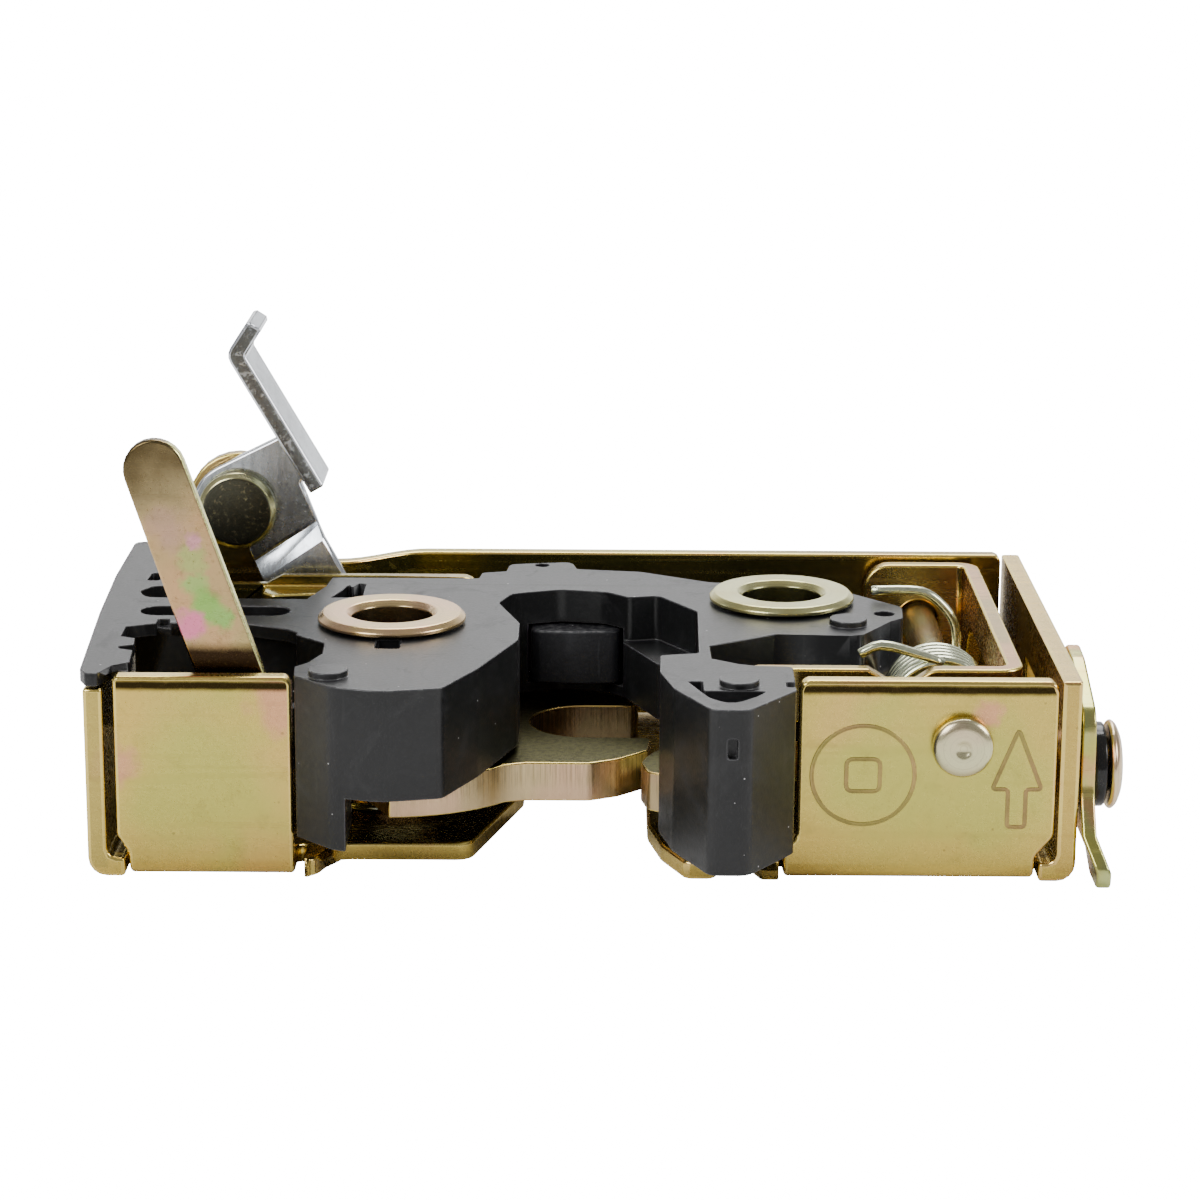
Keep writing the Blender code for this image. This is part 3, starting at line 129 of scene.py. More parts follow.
def grid_piece(name, points, material, close_rows=False, close_columns=False):
    """Return a piece whose surface runs through a grid of points of shape (rows, columns, 3)."""
    rows, columns = points.shape[:2]
    mesh = bpy.data.meshes.new(name)
    mesh.from_pydata(points.reshape(-1, 3).tolist(), [],
                     grid_faces(rows, columns, close_rows, close_columns).tolist())
    tidy_mesh(mesh)
    return add_piece(name, mesh, material)


# %% [markdown]
# Shader maths reads best as plain arithmetic. A small class wraps a node's output, and its operators add
# Math nodes, so that a mask is written as 1 - edge * 0.5. All other nodes come from one method.


# %% Shader arithmetic
class Value:
    """The output of a node, on which Python's arithmetic adds Math nodes."""

    def __init__(self, finish, socket):
        self.finish = finish
        self.socket = socket

    def maths(self, operation, first, second):
        return self.finish.add("ShaderNodeMath", {"operation": operation}, {0: first, 1: second})

    def __add__(self, other):
        return self.maths("ADD", self, other)

    def __sub__(self, other):
        return self.maths("SUBTRACT", self, other)

    def __mul__(self, other):
        return self.maths("MULTIPLY", self, other)

    def __rsub__(self, other):
        return self.maths("SUBTRACT", other, self)

    __radd__ = __add__
    __rmul__ = __mul__

    def above(self, low, high):
        """0 below low, 1 above high and smooth between them."""
        settings = {"interpolation_type": "SMOOTHSTEP"}
        return self.finish.add("ShaderNodeMapRange", settings, {0: self, 1: low, 2: high})

    def between(self, low, high, soft):
        """1 from low to high and 0 outside, with a smooth turn of the length soft inside either end."""
        return self.above(low, low + soft) * (1 - self.above(high - soft, high))

    def size(self):
        """The value without its sign."""
        return self.maths("ABSOLUTE", self, 0.0)


class Finish:
    """A material under construction, with its Principled shader and the piece's own coordinates."""

    def __init__(self, name, **settings):
        self.material = bpy.data.materials.new(name)
        self.material.use_nodes = True
        self.tree = self.material.node_tree
        self.shader = self.tree.nodes["Principled BSDF"]
        for key, value in settings.items():
            self.shader.inputs[key.replace("_", " ").title().replace("Ior", "IOR")].default_value = value
        coordinates = self.tree.nodes.new("ShaderNodeTexCoord")
        self.place = Value(self, coordinates.outputs["Object"])
        self.facing = Value(self, coordinates.outputs["Normal"])

    def link(self, value, target):
        """Put a value or a colour in a socket, or link it when it comes from a node."""
        if isinstance(value, Value):
            self.tree.links.new(value.socket, target)
        else:
            target.default_value = value

    def add(self, kind, settings, inputs, output=0):
        """Add a node: its settings come first, then the values or links of its sockets."""
        node = self.tree.nodes.new(kind)
        for key, value in settings.items():
            setattr(node, key, value)
        for key, value in inputs.items():
            self.link(value, node.inputs[key])
        return Value(self, node.outputs[output])

    def parts(self, vector):
        """Split a vector into its three values."""
        split = self.add("ShaderNodeSeparateXYZ", {}, {0: vector})
        return [Value(self, output) for output in split.socket.node.outputs]

    def stretched(self, scale, turn=(0, 0, 0), move=(0, 0, 0)):
        """The piece's coordinates, scaled, turned and moved: a small scale draws a pattern out."""
        return self.add("ShaderNodeMapping", {}, {"Vector": self.place, "Location": move, "Rotation": turn,
                                                   "Scale": scale})

    def away(self, keep, centre):
        """The distance to a centre, over the directions that keep marks with a 1."""
        kept = self.stretched(keep, move=tuple(-k * c for k, c in zip(keep, centre)))
        return self.add("ShaderNodeVectorMath", {"operation": "LENGTH"}, {0: kept}, 1)

    def noise(self, size, detail=2.0, roughness=0.5, where=None, distortion=0.0):
        """Cloudy noise whose lumps are about size metres wide."""
        return self.add("ShaderNodeTexNoise", {}, {
            "Vector": where or self.place, "Scale": 0.5 / size, "Detail": detail, "Roughness": roughness,
            "Distortion": distortion})

    def cells(self, size):
        """The distance to the nearest of many scattered points, size metres apart."""
        return self.add("ShaderNodeTexVoronoi", {}, {"Vector": self.place, "Scale": 1 / size})

    def mix(self, amount, first, second):
        """A colour between first and second."""
        first = first if isinstance(first, Value) else (*first, 1)
        second = second if isinstance(second, Value) else (*second, 1)
        return self.add("ShaderNodeMix", {"data_type": "RGBA"}, {0: amount, 6: first, 7: second}, 2)

    def bump(self, height, distance, strength):
        """A normal that follows a height, whose full range is distance metres."""
        return self.add("ShaderNodeBump", {}, {"Height": height, "Distance": distance, "Strength": strength})

    def done(self, **sockets):
        """Link the shader's sockets and return the material."""
        for key, value in sockets.items():
            self.link(value, self.shader.inputs[key.replace("_", " ")])
        return self.material


# %% [markdown]
# Yellow passivated zinc is a bright metal plate under a thin chromate film. The film's thickness wanders,
# so straw yellow drifts to green and pink in soft clouds. On top of that lie a fine grain, a few dark
# specks and long faint scratches. On a few places the film is known from the photograph, so a patch or a
# box gives those places a colour of their own. One box is painted shade inside the case instead, and a
# line paints shade under a top edge and a gold highlight on the top.

# %% Colours of the zinc films
GREEN = (0.62, 0.56, 0.13)
PINK = (0.82, 0.43, 0.22)
PAINTED_GOLD_HIGHLIGHT = (1.0, 0.78, 0.30)
BROWN = (0.14, 0.09, 0.03)
PAINTED_FOOT_SHADE = (0.035, 0.02, 0.01)
# The dark line under the flanges' top edge is painted shade, and the gold above it a painted highlight.
PAINTED_SHADE_LINE = (0.03, 0.02, 0.006)
SOFT_BORDER = 0.2 * MM
FRONT_FACING = (-0.95, -0.8)
print("film colours: 6")


# %% Films, painted shade and painted highlights that keep to a place
def patched(finish, colour, patches):
    """Return the colour with film patches: strongest at a centre, and ragged by noise at their radius."""
    for film, centre, radius in patches:
        wander = finish.noise(radius * 0.35, 2.0)
        reach = finish.away((1, 1, 1), centre) + (wander - 0.5) * radius * 1.2
        colour = finish.mix(1 - reach.above(radius * 0.35, radius), colour, film)
    return colour


def boxed(finish, colour, boxes):
    """Return the colour with films and painted shade in boxes: the product of one mask for each direction."""
    place = finish.parts(finish.place)
    for film, share, low_corner, high_corner in boxes:
        inside = share
        for value, low, high in zip(place, low_corner, high_corner):
            inside = value.between(low - SOFT_BORDER, high + SOFT_BORDER, 2 * SOFT_BORDER) * inside
        colour = finish.mix(inside, colour, film)
    return colour


def paint_shade_line_and_highlight(finish, colour, stain, level, left, right):
    """Return the colour with a painted shade line at a height on the front, and a painted gold highlight
    where the face above looks up.
    """
    across, _, up = finish.parts(finish.place)
    _, facing_back, facing_up = finish.parts(finish.facing)
    height = up + (stain - 0.5) * 0.0003
    front = (1 - facing_back.above(*FRONT_FACING)) * across.between(left, right, SOFT_BORDER)
    line = 1 - (height - level).size().above(0.0002, 0.0008)
    colour = finish.mix(front * line, colour, PAINTED_SHADE_LINE)
    highlight_mask = facing_up.above(0.75, 0.95) * height.above(level, level + 0.0004)
    return finish.mix(highlight_mask * 0.9, colour, PAINTED_GOLD_HIGHLIGHT)


# %% Yellow zinc
def zinc(name, base, pink, green, cloud, roughness=0.26, mottle=0.16, move=(0, 0, 0), patches=(), boxes=(),
         line=None, rim=None, dark_below=None):
    """Return yellow zinc: base mixed towards green and pink by two noises, with grain and specks.

    cloud is the size of the noises in metres, and mottle is the share of brown in the grain and the stains.
    patches are (colour, centre, radius): a film colour that is strongest at a place on the piece.
    boxes are (colour, share, low corner, high corner): inside such a box the surface takes on that share of
    the colour, which is a film or painted shade. line is (height, left, right): a painted shade line on the
    front at that height, and a painted gold highlight on the faces above it that look up. rim is a painted
    highlight colour where the piece looks to the right. dark_below is a pair of heights: painted shade
    darkens the colour under the first and leaves it over the second.
    """
    finish = Finish(name, metallic=1.0)
    drift = finish.noise(cloud, 1.5, where=finish.stretched((1, 1, 1), move=move))
    tint = finish.noise(cloud * 0.6, 2.0, where=finish.stretched((1, 1, 1), move=(0.3, 0.1, 0.7)))
    grain = finish.noise(0.00022, 3.0, 0.7)
    stain = finish.noise(0.0016, 4.0, 0.65, distortion=0.4)
    scratch = finish.noise(0.0004, 1.0, where=finish.stretched((0.03, 1, 1), turn=(0, 0.5, 0.3)))
    speck = 1 - finish.cells(0.0035).above(0.03, 0.055)
    colour = finish.mix(drift.above(0.42, 0.62) * green, base, GREEN)
    colour = finish.mix(tint.above(0.45, 0.68) * pink, colour, PINK)
    colour = patched(finish, colour, patches)
    # Painted shade: the colour darkens below a height.
    if dark_below:
        height = finish.parts(finish.place)[2] + (stain - 0.5) * 0.001
        colour = finish.mix(1 - height.above(*dark_below), colour, PAINTED_FOOT_SHADE)
    # A painted shade line along a top edge, and a painted gold highlight on the faces above it.
    if line:
        colour = paint_shade_line_and_highlight(finish, colour, stain, *line)
    if rim:
        # Painted highlight: faces that look to the right take the pale rim colour.
        colour = finish.mix(finish.parts(finish.facing)[0].above(0.35, 0.6), colour, rim)
    if boxes:
        colour = boxed(finish, colour, boxes)
    colour = finish.mix(stain.above(0.5, 0.75) * mottle, colour, BROWN)
    colour = finish.mix(speck * 0.35, colour, BROWN)
    colour = finish.mix(grain.above(0.55, 0.8) * mottle, colour, BROWN)
    dull = grain * 0.12 + drift * 0.1 + scratch.above(0.55, 0.7) * 0.08 + (roughness - 0.1)
    height = grain * 0.6 + scratch * 0.4
    return finish.done(Base_Color=colour, Roughness=dull, Normal=finish.bump(height, 0.00001, 0.6))


# %% The zinc finishes
FLANGE_FRONT = -0.0222
LEVER_FRONT = -0.0190
CASE_PATCHES = (
    (GREEN, (-0.0400, FLANGE_FRONT, 0.0110), 0.0115),
    (GREEN, (0.0290, FLANGE_FRONT, 0.0110), 0.0095),
    (GREEN, (0.0400, FLANGE_FRONT, 0.0105), 0.0090),
    (PINK, (-0.0318, FLANGE_FRONT, 0.0185), 0.0040),
    (PINK, (-0.0488, FLANGE_FRONT, 0.0120), 0.0030),
    (PINK, (0.0395, FLANGE_FRONT, 0.0178), 0.0020),
)
# Painted shade inside the case: the faces behind the flanges' front darken towards an olive brown.
PAINTED_SHADE_INSIDE_CASE = ((0.24, 0.19, 0.07), 0.8, (-0.0500, -0.0204, 0.0018), (0.0470, 0.0400, 0.0300))
RIGHT_WALL = ((0.60, 0.40, 0.11), 0.6, (0.0467, -0.0300, 0.0010), (0.0600, 0.0400, 0.0400))
LEFT_WALL = ((0.55, 0.43, 0.12), 0.8, (-0.0600, -0.0300, 0.0010), (-0.0497, 0.0400, 0.0400))
LEVER_PATCHES = (
    ((0.50, 0.52, 0.18), (-0.0407, LEVER_FRONT, 0.0325), 0.0020),
    ((0.42, 0.56, 0.17), (-0.0406, LEVER_FRONT, 0.0300), 0.0018),
    ((0.32, 0.56, 0.13), (-0.0395, LEVER_FRONT, 0.0275), 0.0024),
    ((0.34, 0.56, 0.15), (-0.0379, LEVER_FRONT, 0.0264), 0.0017),
    ((0.90, 0.26, 0.40), (-0.0411, LEVER_FRONT, 0.0257), 0.0021),
    ((0.78, 0.38, 0.40), (-0.0406, LEVER_FRONT, 0.0345), 0.0011),
    ((0.60, 0.38, 0.25), (-0.0432, LEVER_FRONT, 0.0362), 0.0032),
    ((0.34, 0.26, 0.13), (-0.0452, LEVER_FRONT, 0.0430), 0.0085),
    ((0.11, 0.08, 0.035), (-0.0460, LEVER_FRONT, 0.0476), 0.0085),
)
# Height and ends of the painted shade line under the flanges' top edge.
SHADE_LINE_UNDER_TOP_EDGE = (0.0203, -0.0497, 0.0466)
# Heights of the painted shade at the lock lever's foot, just above the flange.
FOOT_SHADE_HEIGHTS = (0.0228, 0.0243)
ZINC = zinc("yellow zinc on the case", pink=0.22, green=0.3, cloud=0.012, base=(0.77, 0.55, 0.135),
            patches=CASE_PATCHES, boxes=(PAINTED_SHADE_INSIDE_CASE, RIGHT_WALL, LEFT_WALL), line=SHADE_LINE_UNDER_TOP_EDGE)
# The edge finishes are lighter than their faces: partly wear, partly a painted highlight along the bevels.
ZINC_EDGE = zinc("worn zinc edge with painted highlight", pink=0.4, green=0.1, cloud=0.006, roughness=0.2, base=(0.90, 0.69, 0.20),
                 mottle=0.06)
# The dark base colour of the back plate and the transfer bar is partly painted shade: both lie deep in the
# case.
ZINC_BACK = zinc("zinc on the back plate with painted shade", pink=0.2, green=0.6, cloud=0.02, roughness=0.2, move=(0.5, 0.2, 0),
                 base=(0.36, 0.28, 0.09), mottle=0.12)
ZINC_BRACKET = zinc("zinc on the release bracket", pink=0.6, green=0.2, cloud=0.008, roughness=0.24,
                    move=(0.1, 0.6, 0), base=(0.48, 0.35, 0.15), mottle=0.16)
ZINC_ARM = zinc("zinc on the outside lever", pink=0.8, green=0.9, cloud=0.004, roughness=0.22,
                base=(0.50, 0.54, 0.22))
# The lock lever's pale rim colour is a painted highlight on its right side.
ZINC_LEVER = zinc("zinc on the lock lever", pink=0.5, green=0.3, cloud=0.008, roughness=0.26, mottle=0.4,
                  base=(0.56, 0.41, 0.19), rim=(0.98, 0.96, 0.42), patches=LEVER_PATCHES,
                  dark_below=FOOT_SHADE_HEIGHTS)
print("zinc finishes:", [m.name for m in (ZINC, ZINC_EDGE, ZINC_BACK, ZINC_BRACKET, ZINC_ARM, ZINC_LEVER)])

# %% [markdown]
# The catch and the pawl are stamped from thick plate. The press drags fine lines across the cut edge, which
# stays warm and bright, while the flat faces are matt and darker, partly by painted shade under the housing.
# One mask, the share of the normal that points up or down, tells the two apart, because both plates lie flat.


# %% Sheared zinc
def sheared(name, colour, top):
    """Return a cut edge: fine drag lines across the plate's thickness, over a warm tint.

    Faces that look up or down get the colour top, partly painted shade, and a grainy surface instead.
    Painted shade darkens both at the back, under the housing, and the lines fade towards the plate's foot.
    """
    finish = Finish(name, metallic=1.0)
    _, back, up = finish.parts(finish.place)
    flat = finish.parts(finish.facing)[2].size().above(0.6, 0.75)
    lines = finish.noise(0.00013, 3.0, 0.65, where=finish.stretched((1, 1, 0.03)))
    cloud = finish.noise(0.004, 2.0)
    grain = finish.noise(0.00025, 3.0, 0.7)
    side = finish.mix(cloud.above(0.42, 0.62) * 0.6, colour, (0.62, 0.52, 0.26))
    line_share = up.above(0.0062, 0.0080) * 0.32 + 0.05
    side = finish.mix(lines.above(0.42, 0.62) * line_share, side, BROWN)
    face = finish.mix(grain.above(0.42, 0.62) * 0.6, top, (0.04, 0.03, 0.01))
    shade = finish.mix(flat, side, face)
    # Painted shade towards the back, where the plates lie under the housing.
    shade = finish.mix(back.above(-0.0100, 0.0040) * 0.65, shade, (0.05, 0.035, 0.015))
    height = finish.add("ShaderNodeMix", {"data_type": "FLOAT"}, {0: flat, 2: lines, 3: grain})
    bump = finish.bump(height, 0.00004, 0.8)
    return finish.done(Base_Color=shade, Roughness=grain * 0.15 + 0.25, Normal=bump)


# The dark top colour is partly painted shade, for the catch and the pawl lie under the housing.
ZINC_SHEAR = sheared("sheared zinc", colour=(0.74, 0.50, 0.31), top=(0.16, 0.15, 0.06))
print("finish of the catch and the pawl:", ZINC_SHEAR.name)

# %% [markdown]
# Turned pieces, such as the bushes and the rivets, carry the faint rings of the lathe or the riveting
# tool. The rings depend only on the distance to the piece's own axis, so the noise reads that distance.


# %% Turned zinc
def corners_in_mm(node):
    """Return a node's lowest and highest corner in mm."""
    return [np.array(corner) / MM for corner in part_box(node)]


def middle_in_mm(node):
    """Return the middle of a node's box in mm: half of the sum of its two corners."""
    low, high = corners_in_mm(node)
    return (low + high) / 2


def across_axis(axis):
    """Return a 1 for each direction across an axis, and a 0 along it."""
    return np.array([float(way != axis) for way in "XYZ"])


def turned_zinc(name, node, axis, colour, warm, dark_within=0.0):
    """Return turned zinc: rings by noise over the distance to a node's axis, and a tint in clouds.

    Inside the radius dark_within, in metres, the face is dark: painted shade in a bore, a dark face on a
    rivet.
    """
    finish = Finish(name, metallic=1.0)
    radius = finish.away(across_axis(axis).tolist(), (middle_in_mm(node) * MM).tolist())
    rings = finish.noise(0.00012, 1.0, where=finish.add("ShaderNodeCombineXYZ", {}, {0: radius}))
    cloud = finish.noise(0.003, 2.0)
    grain = finish.noise(0.0002, 3.0, 0.7)
    shade = finish.mix(cloud.above(0.4, 0.65) * 0.6, colour, warm)
    shade = finish.mix(rings.above(0.5, 0.8) * 0.3 + grain.above(0.55, 0.8) * 0.25, shade, BROWN)
    # Painted shade inside the bores of the bushes; on the rivet, a plain dark face.
    if dark_within:
        dark = 1 - radius.above(dark_within * 0.96, dark_within * 1.01)
        shade = finish.mix(dark * (1 - grain.above(0.56, 0.68) * 0.3), shade, (0.085, 0.083, 0.060))
    bump = finish.bump(rings * 0.6 + grain * 0.4, 0.000012, 0.7)
    return finish.done(Base_Color=shade, Roughness=grain * 0.14 + 0.17, Normal=bump)


# %% [markdown]
# The inside lever is bright zinc, which is silver with a bluish light in it. The spring wire has a little
# of the yellow film. Both get a brushed grain: noise drawn out along one direction.


# %% Bright zinc and spring wire
def bright(name, tint, roughness, brush, dark=0.35, cut_before=None):
    """Return bright plate: a light metal colour, brushed lines by stretched noise, and fine sparkle.

    Front faces before the place cut_before are the sheet's cut edge: torn, dark and full of glints.
    """
    finish = Finish(name, metallic=1.0)
    lines = finish.noise(0.0003, 2.0, 0.6, where=finish.stretched(brush))
    grain = finish.noise(0.0002, 2.0, 0.7)
    cloud = finish.noise(0.004, 3.0, 0.6)
    shade = tuple(channel * dark for channel in tint)
    worn = lines.above(0.45, 0.7) * 0.3 + grain.above(0.45, 0.7) * 0.12 + cloud.above(0.42, 0.62) * 0.25
    colour = finish.mix(worn, tint, shade)
    if cut_before:
        forward = 1 - finish.parts(finish.facing)[1].above(*FRONT_FACING)
        torn = forward * (1 - finish.parts(finish.place)[1].above(cut_before, cut_before + 0.0003))
        glint = finish.noise(0.0003, 3.0, 0.7).above(0.55, 0.62)
        colour = finish.mix(torn * (1 - glint) * 0.8, colour, (0.10, 0.10, 0.09))
    bump = finish.bump(lines * 0.7 + grain * 0.3, 0.000012, 0.6)
    return finish.done(Base_Color=colour, Roughness=grain * 0.2 + (roughness - 0.1), Normal=bump)


SILVER = bright("bright zinc", (0.60, 0.64, 0.68), 0.24, (1, 0.2, 0.2), cut_before=0.0192)
# The edge of the bright zinc is lighter: a painted highlight along the bevels.
SILVER_EDGE = bright("bright zinc edge", (0.92, 0.95, 1.0), 0.18, (1, 1, 0.1), 0.6)
WIRE = bright("plated spring wire", (0.80, 0.84, 0.60), 0.22, (1, 1, 1), 0.5)
print("bright finishes:", [m.name for m in (SILVER, SILVER_EDGE, WIRE)])

# %% [markdown]
# The housing is moulded in black plastic, which is dark grey where it looks at a light. Moulded plastic has
# a fine orange-peel grain, faint flow clouds, scuffs where other parts touched it and white dust specks.


# %% Black plastic and rubber
def moulded(name, colour, roughness, scuff, specks, depth=0.00002, worn_top=0.0):
    """Return moulded plastic: a dark base with clouds, pale scuffs by sharp noise, and dust specks.

    scuff and specks are the shares of the scuffs and of the dust. depth is the height of the grain in
    metres. worn_top is the share of pale grains where it faces up.
    """
    finish = Finish(name, specular_ior_level=0.42)
    cloud = finish.noise(0.006, 3.0)
    grain = finish.noise(0.00018, 2.0, 0.6)
    rub = finish.noise(0.0022, 4.0, 0.65, distortion=0.6).above(0.60, 0.74)
    drawn_out = finish.stretched((1, 0.12, 0.12), turn=(0.2, 0.6, 0.4))
    hair = finish.noise(0.0005, 2.0, where=drawn_out).above(0.66, 0.74)
    dust = 1 - finish.cells(0.0024).above(0.025, 0.05)
    pale = tuple(min(channel * 2.6 + 0.01, 1) for channel in colour)
    smudge = finish.noise(0.0035, 4.0, 0.7, distortion=1.0).above(0.52, 0.72)
    shade = finish.mix(cloud.above(0.4, 0.7) * 0.2 + smudge * 0.5, colour, pale)
    shade = finish.mix(rub * scuff, shade, pale)
    shade = finish.mix(hair * scuff * 0.6, shade, pale)
    shade = finish.mix(dust * specks, shade, (0.7, 0.7, 0.7))
    if worn_top:
        crumbs = finish.noise(0.0004, 3.0, 0.7).above(0.45, 0.6)
        rubbed = finish.parts(finish.facing)[2].above(0.2, 0.8) * crumbs
        shade = finish.mix(rubbed * worn_top, shade, (0.10, 0.10, 0.10))
    dull = grain * 0.1 + rub * 0.12 + smudge * 0.1 + (roughness - 0.07)
    return finish.done(Base_Color=shade, Roughness=dull, Normal=finish.bump(grain, depth, 0.6))


PLASTIC = moulded("black moulded plastic", (0.009, 0.009, 0.0095), 0.34, 0.4, 0.7)
# The rubbed edge is lighter than the plastic: partly wear, partly a painted highlight along the bevels.
PLASTIC_EDGE = moulded("rubbed plastic edge with painted highlight", (0.045, 0.045, 0.047), 0.26, 0.5, 0.7)
RUBBER = moulded("black rubber", (0.017, 0.017, 0.020), 0.45, 0.9, 1.0, 0.00008, 0.7)
GLOSS = moulded("dark glossy washer", (0.008, 0.008, 0.008), 0.16, 0.1, 0.2)
print("plastic finishes:", [m.name for m in (PLASTIC, PLASTIC_EDGE, RUBBER, GLOSS)])

# %% [markdown]
# No real edge is sharp: the press leaves a small round on each one, and that round is what catches the
# light. Each node of the frame is copied, its loose triangles are merged, and a Bevel modifier rounds its
# edges. The bevel's own faces take a second, lighter finish: partly wear, partly a painted highlight.
# Weighted normals keep the flat faces flat.


# %% Pieces with soft edges
CLEAR_SHARE = 0.7
FLAT_WITHIN = math.radians(0.6)


def stand_in(piece, node):
    """Let a piece stand for a node of the frame, on the node's own body."""
    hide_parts(node)
    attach(piece, frame["nodes"][node]["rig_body"])


def dress(node, material, edge_material, width, angle, flatness):
    """Add a copy of a node with merged faces, edges rounded by width, and two finishes.

    An edge is rounded where its faces meet at more than angle degrees, and where no edge shorter than
    CLEAR_SHARE of the width leaves from either end, so that the round never runs over a tiny detail. A
    low flatness lets facets of one size shade into each other, as the round they stand for does.
    """
    mesh = frame["nodes"][node].data.copy()
    shape = bmesh.new()
    shape.from_mesh(mesh)
    bmesh.ops.remove_doubles(shape, verts=shape.verts, dist=2e-6)
    bmesh.ops.dissolve_limit(shape, angle_limit=FLAT_WITHIN, verts=shape.verts, edges=shape.edges)
    weight = shape.edges.layers.float.new("bevel_weight_edge")
    sharp = {edge for edge in shape.edges
             if len(edge.link_faces) == 2 and edge.calc_face_angle() > math.radians(angle)}
    for edge in sharp:
        nearby = [other.calc_length() for end in edge.verts for other in end.link_edges]
        edge[weight] = float(min(nearby) > CLEAR_SHARE * width)
    shape.to_mesh(mesh)
    shape.free()
    mesh.shade_smooth()
    piece = add_piece("look_" + node, mesh, material)
    mesh.materials.append(edge_material)
    soften = piece.modifiers.new("Soft edges", "BEVEL")
    soften.width = width
    soften.segments = 3
    soften.limit_method = "WEIGHT"
    soften.material = 1
    soften.use_clamp_overlap = False
    even = piece.modifiers.new("Flat faces", "WEIGHTED_NORMAL")
    even.weight = flatness
    stand_in(piece, node)


# %% Dress the nodes
DRESSING = {
    "case_tray": (ZINC, ZINC_EDGE, 0.4 * MM, "yellow_zinc"),
    "back_plate": (ZINC_BACK, ZINC_EDGE, 0.3 * MM, "yellow_zinc"),
    "plastic_housing": (PLASTIC, PLASTIC_EDGE, 0.12 * MM, "black_plastic"),
    "rubber_buffer": (RUBBER, RUBBER, 0.3 * MM, "black_rubber"),
    "catch": (ZINC_SHEAR, ZINC_EDGE, 0.18 * MM, "sheared_zinc"),
    "pawl": (ZINC_SHEAR, ZINC_EDGE, 0.18 * MM, "sheared_zinc"),
    "release_bracket": (ZINC_BRACKET, ZINC_EDGE, 0.3 * MM, "yellow_zinc"),
    "outside_lever": (ZINC_ARM, ZINC_ARM, 0.3 * MM, "yellow_zinc"),
    "inside_lever": (SILVER, SILVER_EDGE, 0.3 * MM, "bright_zinc"),
    "transfer_bar": (ZINC_BACK, ZINC_EDGE, 0.25 * MM, "yellow_zinc"),
    "lock_lever": (ZINC_LEVER, ZINC_LEVER, 0.35 * MM, "yellow_zinc"),
}
SHARP_ANGLE = 33
OWN_ANGLES = {"inside_lever": 24, "plastic_housing": 38}
FLATNESS = 100
OWN_FLATNESS = {"plastic_housing": 50}
for node, (material, edge_material, width, slot) in DRESSING.items():
    dress(node, material, edge_material, width, OWN_ANGLES.get(node, SHARP_ANGLE),
          OWN_FLATNESS.get(node, FLATNESS))
print("pieces dressed:", len(DRESSING))

# %% [markdown]
# The bushes, pins and rivets are turned or headed parts. Each is a profile carried once round an axis, on
# the grid of profile step and angle. Corners of the profile are rounded first: between two points at the
# same distance from a corner, a parabola that aims at the corner takes its place.


# %% Turned pieces
def soft_profile(corners, radius, steps=5):
    """Return a profile with its inner corners rounded.

    For a corner c with neighbours p and n, a and b lie radius from c towards p and n, and the round is
    (1 - t)^2 a + 2 t (1 - t) c + t^2 b for t from 0 to 1.
    """
    corners = np.array(corners, float)
    middle = corners[1:-1]
    before = corners[:-2] - middle
    after = corners[2:] - middle
    reach = np.minimum(np.linalg.norm(before, axis=1), np.linalg.norm(after, axis=1)) * 0.45
    reach = np.minimum(reach, radius)[:, None]
    first = middle + before / np.linalg.norm(before, axis=1)[:, None] * reach
    last = middle + after / np.linalg.norm(after, axis=1)[:, None] * reach
    t = np.linspace(0, 1, steps)[None, :, None]
    rounds = (1 - t) ** 2 * first[:, None] + 2 * t * (1 - t) * middle[:, None] + t ** 2 * last[:, None]
    return np.concatenate([corners[:1], rounds.reshape(-1, 2), corners[-1:]])


def turned_grid(profile, centre, axis, steps=72):
    """Return a profile of (radius, place along the axis) in mm, turned round an axis through centre.

    At the angle a, the point is radius * cos(a) and radius * sin(a) across the axis.
    """
    turn = np.linspace(0, 2 * math.pi, steps, endpoint=False)
    across = profile[:, :1] * np.cos(turn)
    up = profile[:, :1] * np.sin(turn)
    along = np.broadcast_to(profile[:, 1:], across.shape)
    ways = {"X": (along, across, up), "Y": (across, along, up), "Z": (across, up, along)}[axis]
    return (np.stack(ways, axis=-1) + np.array(centre)) * MM


def turned_piece(node, profile, axis, material, radius, hollow=False):
    """Add a turned piece in place of a node, round the node's axis, with corners rounded by radius.

    A hollow piece has a closed profile.
    """
    corners = [*profile[-1:], *profile, *profile[:1]] if hollow else profile
    soft = soft_profile(corners, radius)
    soft = soft[1:-1] if hollow else soft
    centre = middle_in_mm(node) * across_axis(axis)
    piece = grid_piece("look_" + node, turned_grid(soft, centre, axis), material, close_rows=hollow,
                       close_columns=True)
    stand_in(piece, node)


# %% [markdown]
# Each bush is a tube under a flat ring with two chamfers. It is hollow, so its profile is closed. The ring
# of the left one is a warm straw colour, the right one is greener, and both bores are darkened by painted
# shade.

